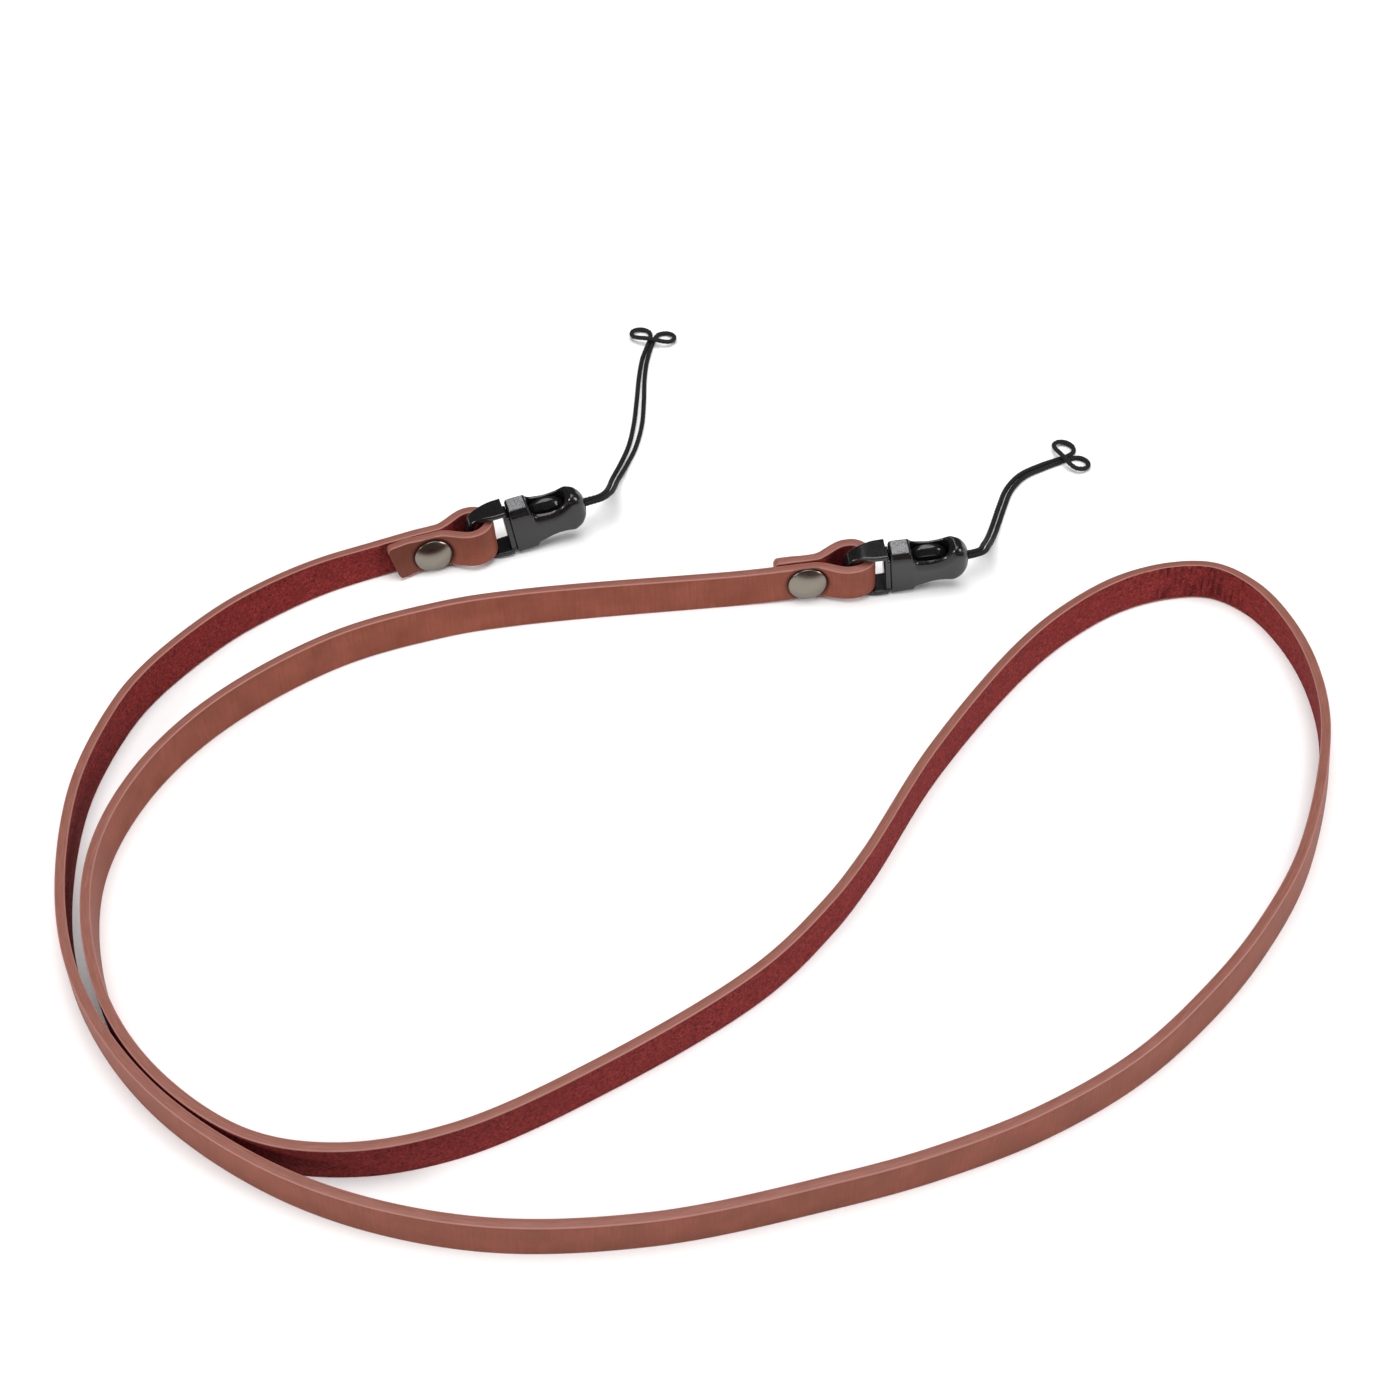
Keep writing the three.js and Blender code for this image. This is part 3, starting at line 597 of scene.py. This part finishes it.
def moulded_acetal(name, roughness, grit, dark="#0E0E0F", light="#19191A"):
    """Black acetal from a mould with a spark-eroded face: a fine even grit under a broad grey gloss."""
    material, skin = new_material(name)
    place = add(material, "ShaderNodeTexCoord", {})
    # Grit is drawn at 0.25 mm, three times its real size, so that it shows.
    grains = add(material, "ShaderNodeTexNoise", {"Vector": place.outputs["Object"], "Scale": 4000.0,
                 "Detail": 2.0, "Roughness": 0.5})
    bump = add(material, "ShaderNodeBump", {"Height": grains.outputs["Fac"], "Strength": grit,
               "Distance": 0.00004})
    gloss = add(material, "ShaderNodeMapRange", {"Value": grains.outputs["Fac"], "From Min": 0.3,
                "From Max": 0.7, "To Min": roughness - 0.05, "To Max": roughness + 0.07})
    fleck = add(material, "ShaderNodeMapRange", {"Value": grains.outputs["Fac"], "From Min": 0.42,
                "From Max": 0.58})
    shade = add(material, "ShaderNodeMix", {0: fleck.outputs[0], 6: linear(dark),
                7: linear(light)}, data_type="RGBA")
    connect(material, (shade.outputs[2], skin.inputs["Base Color"]),
            (gloss.outputs[0], skin.inputs["Roughness"]), (bump.outputs[0], skin.inputs["Normal"]))
    return material


def gunmetal_plate():
    """Steel caps with polished gunmetal plating: a dark warm mirror with hair-fine rubbing marks."""
    material, skin = new_material("polished_gunmetal_plate")
    place = add(material, "ShaderNodeTexCoord", {})
    # Rubbing marks 0.2 mm wide
    marks_at = add(material, "ShaderNodeVectorMath", {0: place.outputs["Object"],
                   1: (600.0, 5000.0, 5000.0)}, operation="MULTIPLY")
    marks = add(material, "ShaderNodeTexNoise", {"Vector": marks_at.outputs[0], "Scale": 1.0,
                "Detail": 3.0})
    gloss = add(material, "ShaderNodeMapRange", {"Value": marks.outputs["Fac"], "To Min": 0.23,
                "To Max": 0.29})
    tint = add(material, "ShaderNodeMix", {0: marks.outputs["Fac"], 6: linear("#7A736A"),
               7: linear("#8C857B")}, data_type="RGBA")
    connect(material, (tint.outputs[2], skin.inputs["Base Color"]),
            (gloss.outputs[0], skin.inputs["Roughness"]))
    skin.inputs["Metallic"].default_value = 1.0
    return material


def braided_polyester():
    """Black polyester braid: yarns over and under one another, with a painted highlight that makes
    their crowns grey and painted shade that makes the gaps between them black, slightly fuzzy."""
    material, skin = new_material("braided_polyester_cord")
    place = add(material, "ShaderNodeTexCoord", {})
    weave = add(material, "ShaderNodeAttribute", {}, attribute_name="weave")
    height = add(material, "ShaderNodeSeparateXYZ", {0: weave.outputs["Vector"]})
    # Painted highlight and shade: the crowns of the yarns are painted grey and the gaps black, by the
    # weave's relief.
    crown = add(material, "ShaderNodeMapRange", {"Value": height.outputs["X"], "From Min": -0.6,
                "From Max": 0.9})
    colour_with_painted_light = add(material, "ShaderNodeMix", {0: crown.outputs[0], 6: linear("#020202"),
               7: linear("#17171A")}, data_type="RGBA")
    # Filaments are drawn 0.12 mm wide, several times their real width, so that they show.
    fuzz = add(material, "ShaderNodeTexNoise", {"Vector": place.outputs["Object"], "Scale": 8000.0,
               "Detail": 2.0})
    bump = add(material, "ShaderNodeBump", {"Height": fuzz.outputs["Fac"], "Strength": 0.5,
               "Distance": 0.00005})
    connect(material, (colour_with_painted_light.outputs[2], skin.inputs["Base Color"]),
            (bump.outputs[0], skin.inputs["Normal"]))
    skin.inputs["Roughness"].default_value = 0.75
    skin.inputs["Specular IOR Level"].default_value = 0.3
    skin.inputs["Sheen Weight"].default_value = 0.02
    return material


# Camera, floor and lights

def set_up_camera():
    data = bpy.data.cameras.new("studio_camera")
    data.sensor_width = SENSOR_WIDTH
    data.lens = LENS
    data.clip_start = 0.01
    camera = bpy.data.objects.new("studio_camera", data)
    camera.location = Vector(CAMERA_AT) * MM
    aim = Vector(CAMERA_AIM) - Vector(CAMERA_AT)
    camera.rotation_euler = aim.to_track_quat("-Z", "Y").to_euler()
    bpy.context.scene.collection.objects.link(camera)
    bpy.context.scene.camera = camera


def set_up_floor():
    material, skin = new_material("matt_white_card")
    place = add(material, "ShaderNodeTexCoord", {})
    # Card fibres 2 mm long, barely there
    fibres = add(material, "ShaderNodeTexNoise", {"Vector": place.outputs["Object"], "Scale": 500.0,
                 "Detail": 2.0})
    shade = add(material, "ShaderNodeMix", {0: fibres.outputs["Fac"], 6: linear("#F6F6F6"),
                7: linear("#FAFAFA")}, data_type="RGBA")
    connect(material, (shade.outputs[2], skin.inputs["Base Color"]))
    skin.inputs["Roughness"].default_value = 0.9
    h = FLOOR_HALF
    corners = [(-h, -h, 0), (h, -h, 0), (h, h, 0), (-h, h, 0)]
    floor = make_piece("floor", corners, [(0, 1, 2, 3)], [material])


def add_softbox(name, at, size, power):
    """A soft rectangular light that faces the middle of the floor."""
    light = bpy.data.lights.new(name, "AREA")
    light.shape = "RECTANGLE"
    light.size, light.size_y = size
    light.energy = power
    lamp = bpy.data.objects.new(name, light)
    lamp.location = at
    lamp.rotation_euler = (-Vector(at)).to_track_quat("-Z", "Y").to_euler()
    bpy.context.scene.collection.objects.link(lamp)


def set_up_light():
    """A dim room, a wide softbox and a narrow strip overhead, and a softbox at each side in front."""
    world = bpy.data.worlds.new("studio")
    world.use_nodes = True
    world.node_tree.nodes["Background"].inputs["Color"].default_value = (1, 1, 1, 1)
    world.node_tree.nodes["Background"].inputs["Strength"].default_value = ROOM_LIGHT
    bpy.context.scene.world = world
    # The white card shows as white, without a film curve over it.
    bpy.context.scene.view_settings.view_transform = "Standard"
    for name, (at, size, power) in SOFTBOXES.items():
        add_softbox(name, at, size, power)


# Leather strip

def standing_height(lean):
    """Height of the strip's middle when it stands on its lower edge and leans by that many degrees."""
    tilt = np.abs(np.radians(lean))
    foot = STRAP_THICK / 2 - FOOT_INSET
    return STRAP_WIDTH / 2 * np.cos(tilt) + foot * np.sin(tilt)


def end_lift(along):
    """How far the strip has risen from the surface on its way to the clip."""
    past = np.asarray(along, float) - LIFT_FROM
    eased = (past + LIFT_EASE) ** 2 / (4 * LIFT_EASE)
    run = np.where(np.abs(past) < LIFT_EASE, eased, np.maximum(past, 0))
    return run * math.tan(math.radians(END_SLOPE))


def end_frame(end):
    height = standing_height(end["tip"]) + end_lift(0)
    return turned(end["x"], end["y"], height, end["yaw"], END_SLOPE, end["tip"])


def parting(along):
    """How far the layers have opened round the ring, from 0 at the rivet to 1 at the fold."""
    return smooth_step(along, LAYERS_PART, LAYERS_WIDE)


def folded_end(end):
    """Middle line and width direction of one folded end, from the rivet on the strap side to the flap's
    cut edge. The strap side is drawn in at the rivet, twisted upright there and tucked in towards the
    ring. The flap side is spread away from it, and its cut end is twisted."""
    strap_side = -end["flap"]
    centre = end["fold_tip"] - STRAP_THICK / 2 - FOLD_RADIUS
    inner = FOLD_RADIUS - end["tuck"]
    outer = FOLD_RADIUS + end["spread"]
    close = LAYER_OFFSET - end["drawn"]
    line, twist = [], []
    for a in np.arange(RIVET_AT, centre, END_STEP):
        line.append((a, strap_side * (close + (inner - close) * parting(a)), 0))
        twist.append(end["strap_twist"] * (1 - smooth_step(a, RIVET_AT, LAYERS_WIDE)))
    for turn in np.linspace(0, math.pi, FOLD_STEPS, endpoint=False):
        aside = (inner if turn < math.pi / 2 else outer) * math.cos(turn)
        line.append((centre + FOLD_RADIUS * math.sin(turn), strap_side * aside, 0))
        twist.append(0)
    held = LAYER_OFFSET + end["spread"]
    for a in np.linspace(centre, end["flap_end"], round((centre - end["flap_end"]) / END_STEP)):
        flare = end["flare"] * smooth_step(-a, -FLARE_FROM, -end["flap_end"])
        line.append((a, -strap_side * (held + flare + (outer - held) * parting(a)), 0))
        twist.append(end["flap_twist"] * smooth_step(-a, -RIVET_AT, -end["flap_end"]))
    matrix = end_frame(end)
    twist = np.radians(twist)[:, None]
    return placed(line, matrix), matrix[:3, 2] * np.cos(twist) + matrix[:3, 1] * np.sin(twist)


def left_turn(line):
    """How sharply a line seen from above turns to the left, as one over the radius."""
    step = np.gradient(line[:, :2], axis=0)
    heading = np.unwrap(np.arctan2(step[:, 1], step[:, 0]))
    return np.gradient(heading) / np.linalg.norm(step, axis=1)


def open_run():
    """Middle line and width direction of the strip between the two rivets."""
    def lead(end, along, lean):
        aside = -end["flap"] * (LAYER_OFFSET - end["drawn"])
        x, y, _ = placed([(along, aside, 0)], end_frame(end))[0]
        return x, y, lean
    left, right = ENDS
    left_lean = left["tip"] - left["strap_twist"]
    right_lean = right["strap_twist"] - right["tip"]
    knots = [
        lead(left, RIVET_AT, left_lean), lead(left, FLARE_FROM, left_lean), *LAY,
        lead(right, FLARE_FROM, right_lean), lead(right, RIVET_AT, right_lean),
    ]
    line = spline(knots, SPAN_STEPS)
    squeeze = smooth_step(left_turn(line), *FINE_BENDS)
    run = travelled(line)
    squeeze = np.maximum(squeeze, np.interp(run - CREASE_DELAY, run, squeeze))
    line = graded(line, RUN_STEP + (CREASE_STEP - RUN_STEP) * squeeze)
    ahead = np.gradient(line, axis=0)
    ahead[:, 2] = 0
    ahead = unit(ahead)
    lean = np.radians(line[:, 2])
    widths = np.column_stack([-ahead[:, 1] * np.sin(lean), ahead[:, 0] * np.sin(lean), np.cos(lean)])
    run = travelled(line)
    from_end = np.minimum(run, run[-1] - run)
    points = line.copy()
    points[:, 2] = standing_height(line[:, 2]) + end_lift(RIVET_AT - from_end)
    return points[1:-1], widths[1:-1]


def strip_section():
    """The strip's outline as (up the width, out of the grain side) points, and each side's zone:
    0 grain, 1 flesh, 2 edge."""
    half, face, corner = STRAP_WIDTH / 2, STRAP_THICK / 2, STRAP_CORNER
    in_half, in_face = half - corner, face - corner
    arc = [(corner * math.sin(a), corner * math.cos(a)) for a in np.radians(CORNER_TURNS)]
    flat = np.linspace(-in_half, in_half, FACE_COLUMNS + 1)
    rise = np.linspace(in_face, -in_face, EDGE_COLUMNS)
    crown = EDGE_CROWN * (1 - (rise / in_face) ** 2)
    points, zones = [], []
    for side, zone in ((1, 0), (-1, 1)):
        # One face, the corner at its end, the crowned edge, and the corner that leads to the other face
        points += [(w * side, face * side) for w in flat]
        points += [((in_half + b) * side, (in_face + c) * side) for b, c in arc]
        points += [((half + k) * side, g * side) for g, k in zip(rise, crown)]
        points += [((in_half + c) * side, (-in_face - b) * side) for b, c in arc]
        zones += [zone] * FACE_COLUMNS + [2] * (EDGE_COLUMNS + 2 * len(arc) + 1)
    return np.array(points), zones


def creases(along, across, squeeze):
    """Depth of the short uneven creases on the inside of a tight bend. Each of a few levels across the
    width has its own random line, and the levels blend into one another."""
    marks = np.arange(0, along[-1], CREASE_VALUE_STEP)
    level = (across / STRAP_WIDTH + 0.5) * (CREASE_LEVELS - 1)
    depth = np.full((len(along), across.shape[-1]), 0.5)
    for k in range(CREASE_LEVELS):
        line = np.interp(along, marks, soft_noise(len(marks), CREASE_DRAW_STEP, CREASE_SEED + k))
        depth += 0.5 * line[:, None] * np.clip(1 - np.abs(level - k), 0, 1)
    return CREASE_DEPTH * squeeze[:, None] * depth


def pressed(points, end, outer_face):
    """Holds the layers flat under a rivet's caps and sinks their outer faces round them; also gives the
    share by which each point is sunk, which the grain material turns into painted shade round the caps."""
    matrix = end_frame(end)
    local = (points - matrix[:3, 3]) @ matrix[:3, :3]
    reach = np.hypot(local[..., 0] - RIVET_AT, local[..., 2] + end["rivet_drop"])
    near = (np.abs(local[..., 1]) < PRESS_ASIDE) * (reach < PRESS_REACH)
    opened = (FOLD_RADIUS - LAYER_OFFSET) * parting(local[..., 0])
    depth = opened * (1 - smooth_step(reach, *HELD_FLAT))
    sunk = (1 - smooth_step(reach, *DENT_RUN)) * outer_face * near
    local[..., 1] -= np.sign(local[..., 1]) * (depth * near + DENT_DEPTH * sunk)
    return local @ matrix[:3, :3].T + matrix[:3, 3], sunk


def make_strip(grain, flesh, edge):
    """The whole strip as one skin, from the left flap's cut edge to the right flap's."""
    first, first_widths = folded_end(ENDS[0])
    run, run_widths = open_run()
    last, last_widths = folded_end(ENDS[1])
    line = np.vstack([first[::-1], run, last])
    widths = np.vstack([first_widths[::-1], run_widths, last_widths])
    ahead = unit(np.gradient(line, axis=0))
    up = unit(widths - ahead * (widths * ahead).sum(1, keepdims=True))
    out = np.cross(ahead, up)
    along = travelled(line)
    section, zones = strip_section()
    count = len(line)
    across, outward = section.T
    in_run = (along > along[len(first)]) & (along < along[-len(last)])
    squeeze = smooth_step(left_turn(line), *CREASE_BENDS) * in_run
    squeeze = np.interp(along - CREASE_DELAY, along, squeeze)
    # The grain face with its corners, and each flat face alone
    on_outside = outward > 0.5
    on_grain, on_flesh = outward > STRAP_THICK / 2 - 0.01, outward < 0.01 - STRAP_THICK / 2
    wander = WANDER * soft_noise(count, WANDER_ROWS, WANDER_SEED)[:, None] * (on_grain | on_flesh)
    depth = outward + wander * np.sign(outward)
    depth += creases(along, across[None], squeeze) * on_flesh
    slant = -FLAP_SLANT * (1 - smooth_step(along, 0, SLANT_RUN))
    # The corners of the cut ends are rounded off.
    short = np.clip(FLAP_CORNER - np.minimum(along, along[-1] - along), 0, FLAP_CORNER)
    trim = FLAP_CORNER - np.sqrt(FLAP_CORNER**2 - short**2)
    spread = across[None] * (1 - 2 * trim / STRAP_WIDTH)[:, None]
    rings = line[:, None] + up[:, None] * spread[..., None] + out[:, None] * depth[..., None]
    rings += ahead[:, None] * (slant[:, None] * across[None])[..., None]
    # This depth goes to the materials, which paint shade by it in the floors of the creases and round
    # the rivet caps.
    depth_for_painted_shade = np.array(np.broadcast_to(depth, rings.shape[:2]))
    for end in ENDS:
        rings, sunk = pressed(rings, end, on_outside)
        depth_for_painted_shade -= sunk
    rings[:, :, 2] = np.maximum(rings[:, :, 2], FLOOR_CLEAR)
    points, faces = loft(rings)
    strip = np.empty_like(rings)
    strip[:, :, 0] = along[:, None]
    strip[:, :, 1] = across
    strip[:, :, 2] = depth_for_painted_shade
    piece = make_piece("leather_strip", points, faces, [grain, flesh, edge],
                       zones * (count - 1) + [2, 2], {"strip": strip.reshape(-1, 3)})
    crisp(piece, 60)
    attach(piece, "root")
    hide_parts("leather_strap")


# Rivets

def make_rivet(end, metal):
    """Two domed caps on the folded end, a near one and a smaller far one, each with a rolled-in rim."""
    caps = [("front", "cap", -1, CAP_RADIUS, CAP_DOME), ("rear", "back", 1, BACK_RADIUS, BACK_DOME)]
    seat = LAYER_OFFSET + STRAP_THICK / 2 - DENT_DEPTH
    rim = seat + RIM_HEIGHT
    turns = np.linspace(0, 2 * math.pi, CAP_SIDES, endpoint=False)
    for name, node, hand, wide, dome in caps:
        profile = [
            (CAP_MIDDLE, seat), (wide - FOOT_IN, seat), (wide - UNDERCUT_IN, seat + UNDERCUT_HEIGHT),
        ]
        for turn in np.radians(RIM_TURNS):
            profile.append((wide - RIM_ROUND + RIM_ROUND * math.cos(turn),
                            rim + RIM_ROUND * math.sin(turn)))
        edge, height = profile[-1]
        for share in np.linspace(0.08, 0.999, DOME_STEPS):
            profile.append((edge * (1 - share), height + dome * (1 - (1 - share) ** DOME_POWER)))
        on_flap = hand == end["flap"]
        shift = end["spread"] if on_flap else -end["drawn"]
        # The cap is turned with the layer that it sits on.
        twist = 0 if on_flap else math.radians(end["strap_twist"])
        rings = []
        for radius, height in profile:
            up = radius * np.sin(turns) - end["rivet_drop"]
            out = hand * (height - LAYER_OFFSET)
            rings.append(np.column_stack([
                RIVET_AT + radius * np.cos(turns),
                hand * (LAYER_OFFSET + shift) + out * math.cos(twist) + up * math.sin(twist),
                up * math.cos(twist) - out * math.sin(twist),
            ]))
        points, faces = loft(rings)
        points = placed(points, end_frame(end))
        piece = make_piece(f"rivet_{name}_{end['side']}", points, faces, [metal])
        crisp(piece, 50)
        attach(piece, "root")
        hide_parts(f"rivet_{node}_{end['side']}")


# Clips

def clip_frame(end):
    """The clip's own frame, at the middle of its socket's mouth."""
    return turned(end["x"], end["y"], MOUTH_HEIGHT, end["yaw"], end["pitch"], end["tip"])


def make_clip_piece(name, end, body, material, angle=50):
    """A piece of the clip from points and faces in the clip's own frame."""
    points, faces = body
    piece = make_piece(name, placed(points, clip_frame(end)), faces, [material])
    crisp(piece, angle)
    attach(piece, "root")
    return piece


def ring_line():
    """The bow's middle line as (along, up) points, from its upper foot round to its lower foot."""
    turns = np.linspace(math.pi / 2, -math.pi / 2, RING_POINTS)
    power = 2 / RING_FULLNESS
    along = RING_START - RING_REACH * np.abs(np.cos(turns)) ** power
    up = RING_RISE * np.sign(np.sin(turns)) * np.abs(np.sin(turns)) ** power
    bow = np.column_stack([along, up])
    return evenly(np.vstack([[(RING_FOOT, RING_RISE)], bow, [(RING_FOOT, -RING_RISE)]]), RING_STEP)


def make_ring(end, glossy):
    """The bow with what it carries into the socket: shoulder, tongue and spring lever."""
    line = ring_line()
    ahead = unit(np.gradient(line, axis=0))
    rings = []
    for (along, up), (run_x, run_z) in zip(line, ahead):
        half = RING_THICK / 2 - RING_NARROWING * smooth_step(-along, *RING_NARROWS)
        section = bar_section(half, -RING_WALL / 2, RING_WALL / 2, RING_CORNER)
        rings.append(np.column_stack([
            along + run_z * section[:, 1], section[:, 0], up - run_x * section[:, 1],
        ]))
    piece = make_clip_piece(f"clip_ring_{end['side']}_bow", end, loft(rings), glossy)
    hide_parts(f"clip_ring_{end['side']}")
    make_clip_piece(f"clip_shoulder_{end['side']}", end, formed(SHOULDER_FORM, bar_section, 4), glossy)
    make_clip_piece(f"clip_tongue_{end['side']}", end, formed(TONGUE_FORM, bar_section), glossy)
    points, faces = formed(LEVER_FORM, lever_section)
    make_clip_piece(f"clip_lever_{end['side']}", end, (points + (0, LEVER_ASIDE, 0), faces), glossy)


def make_socket(end, matt, grip):
    """The shell with its mouth, cord pocket and lever slot cut out, and the pad on its collar."""
    piece = make_clip_piece(f"clip_socket_{end['side']}_shell", end,
                            formed(SOCKET_FORM, socket_section), matt)
    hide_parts(f"clip_socket_{end['side']}")
    cutters = [
        sideways_prism(MOUTH_SIDE, MOUTH_HALF), sideways_prism(POCKET_SIDE, POCKET_HALF),
        upright_prism(rounded(SLOT_PLAN, np.array(SLOT_CORNERS)), SLOT_FLOOR, SLOT_OPEN),
    ]
    for points, faces in cutters:
        cut_away(piece, placed(points, clip_frame(end)), faces)
    crisp(piece, 35)
    make_grip_pad(end, grip)


def make_grip_pad(end, grip):
    """The grained thumb pad on top of the collar."""
    count = PAD_CELLS + 1
    along, across = np.meshgrid(np.linspace(PAD_FROM, PAD_TO, count),
                                np.linspace(PAD_NEAR, PAD_FAR, count), indexing="ij")
    level = np.linspace(PAD_NEAR_LEVEL, PAD_FAR_LEVEL, count) + np.zeros_like(along)
    height = level + PAD_RELIEF * RNG.uniform(0, 1, along.shape)
    rim = np.ones_like(along, bool)
    rim[1:-1, 1:-1] = False
    height[rim] = level[rim] - PAD_RIM_DROP
    top = np.stack([along, across, height], -1).reshape(-1, 3)
    faces = []
    for i in range(PAD_CELLS):
        for j in range(PAD_CELLS):
            a = i * count + j
            faces.append((a, a + count, a + count + 1, a + 1))
    # The underside is one flat face round the rim.
    last = count - 1
    loop = [(0, j) for j in range(count)] + [(i, last) for i in range(1, count)]
    loop += [(last, j) for j in range(last - 1, -1, -1)] + [(i, 0) for i in range(last - 1, 0, -1)]
    faces.append(tuple(i * count + j for i, j in loop))
    make_clip_piece(f"clip_grip_pad_{end['side']}", end, (top, faces), grip, 30)


# Cords

def cord_line(route):
    """One cord's middle line: out along a strand, round the hitch and back along the other strand."""
    rows = np.array(route["rows"], float)
    ahead = np.vstack([rows[1] - rows[0], rows[2:] - rows[:-2], rows[-1] - rows[-2]])[:, :2]
    aside = np.column_stack([-ahead[:, 1], ahead[:, 0]]) / np.linalg.norm(ahead, axis=1)[:, None]
    x, y, heading = route["hitch"]
    turn = math.radians(heading)

    def strand(hand):
        return np.column_stack([rows[:, :2] + hand * aside * rows[:, 3:] / 2, rows[:, 2]])

    def hitch(points, hand):
        return [(x + a * math.cos(turn) - hand * b * math.sin(turn),
                 y + a * math.sin(turn) + hand * b * math.cos(turn), z) for a, b, z in points]
    knots = np.vstack([
        strand(1), hitch(HITCH, 1), hitch([BIGHT], 1), hitch(HITCH, -1)[::-1], strand(-1)[::-1],
    ])
    return spline(knots, CORD_SPAN_STEPS)


def make_cord(side, braid):
    """One cord as a round skin with the crowns of its yarns raised."""
    line = evenly(cord_line(CORD_ROUTES[side]), BRAID_STEP)
    ahead = unit(np.gradient(line, axis=0))
    # A frame that is carried along the line without twisting
    across = np.empty_like(line)
    start = np.cross(ahead[0], (0, 0, 1))
    across[0] = start / np.linalg.norm(start)
    for i in range(1, len(line)):
        carried = across[i - 1] - ahead[i] * across[i - 1].dot(ahead[i])
        across[i] = carried / np.linalg.norm(carried)
    over = np.cross(ahead, across)
    run = travelled(line)
    turns = np.linspace(0, 2 * math.pi, BRAID_SIDES, endpoint=False)
    # Crowns of the yarns stand in staggered diamonds.
    relief = np.cos(2 * math.pi / YARN_PITCH * run)[:, None] * np.cos(YARNS_ROUND * turns)[None]
    radius = CORD_DIAMETER / 2 - BRAID_RELIEF / 2 + BRAID_RELIEF * relief
    rings = (line[:, None] + radius[..., None] * (across[:, None] * np.cos(turns)[None, :, None]
             + over[:, None] * np.sin(turns)[None, :, None]))
    points, faces = loft(rings)
    # The relief goes to the braid's material, which paints highlight on the crowns and shade in the
    # gaps by it.
    weave = np.zeros((len(points), 3))
    weave[:, 0] = relief.ravel()
    piece = make_piece(f"cord_braid_{side}", points, faces, [braid], attributes={"weave": weave})
    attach(piece, "root")
    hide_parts(f"cord_loop_{side}")


set_up_camera()
set_up_floor()
set_up_light()
cord_material = braided_polyester()
for cord_side in CORD_ROUTES:
    make_cord(cord_side, cord_material)
make_strip(drum_dyed_grain(), split_flesh(), burnished_edge())
cap_metal = gunmetal_plate()
shell_plastic = moulded_acetal("moulded_acetal_satin", 0.19, 0.15)
bow_plastic = moulded_acetal("moulded_acetal_glossy", 0.14, 0.06)
# The grip pad is the same black acetal; its lighter grey speckled colour is painted glints of its
# grain.
pad_acetal_painted_glints = moulded_acetal("moulded_acetal_grip_painted_glints", 0.3, 0.3, "#545456", "#8A8A8C")
for strap_end in ENDS:
    make_rivet(strap_end, cap_metal)
    make_ring(strap_end, bow_plastic)
    make_socket(strap_end, shell_plastic, pad_acetal_painted_glints)
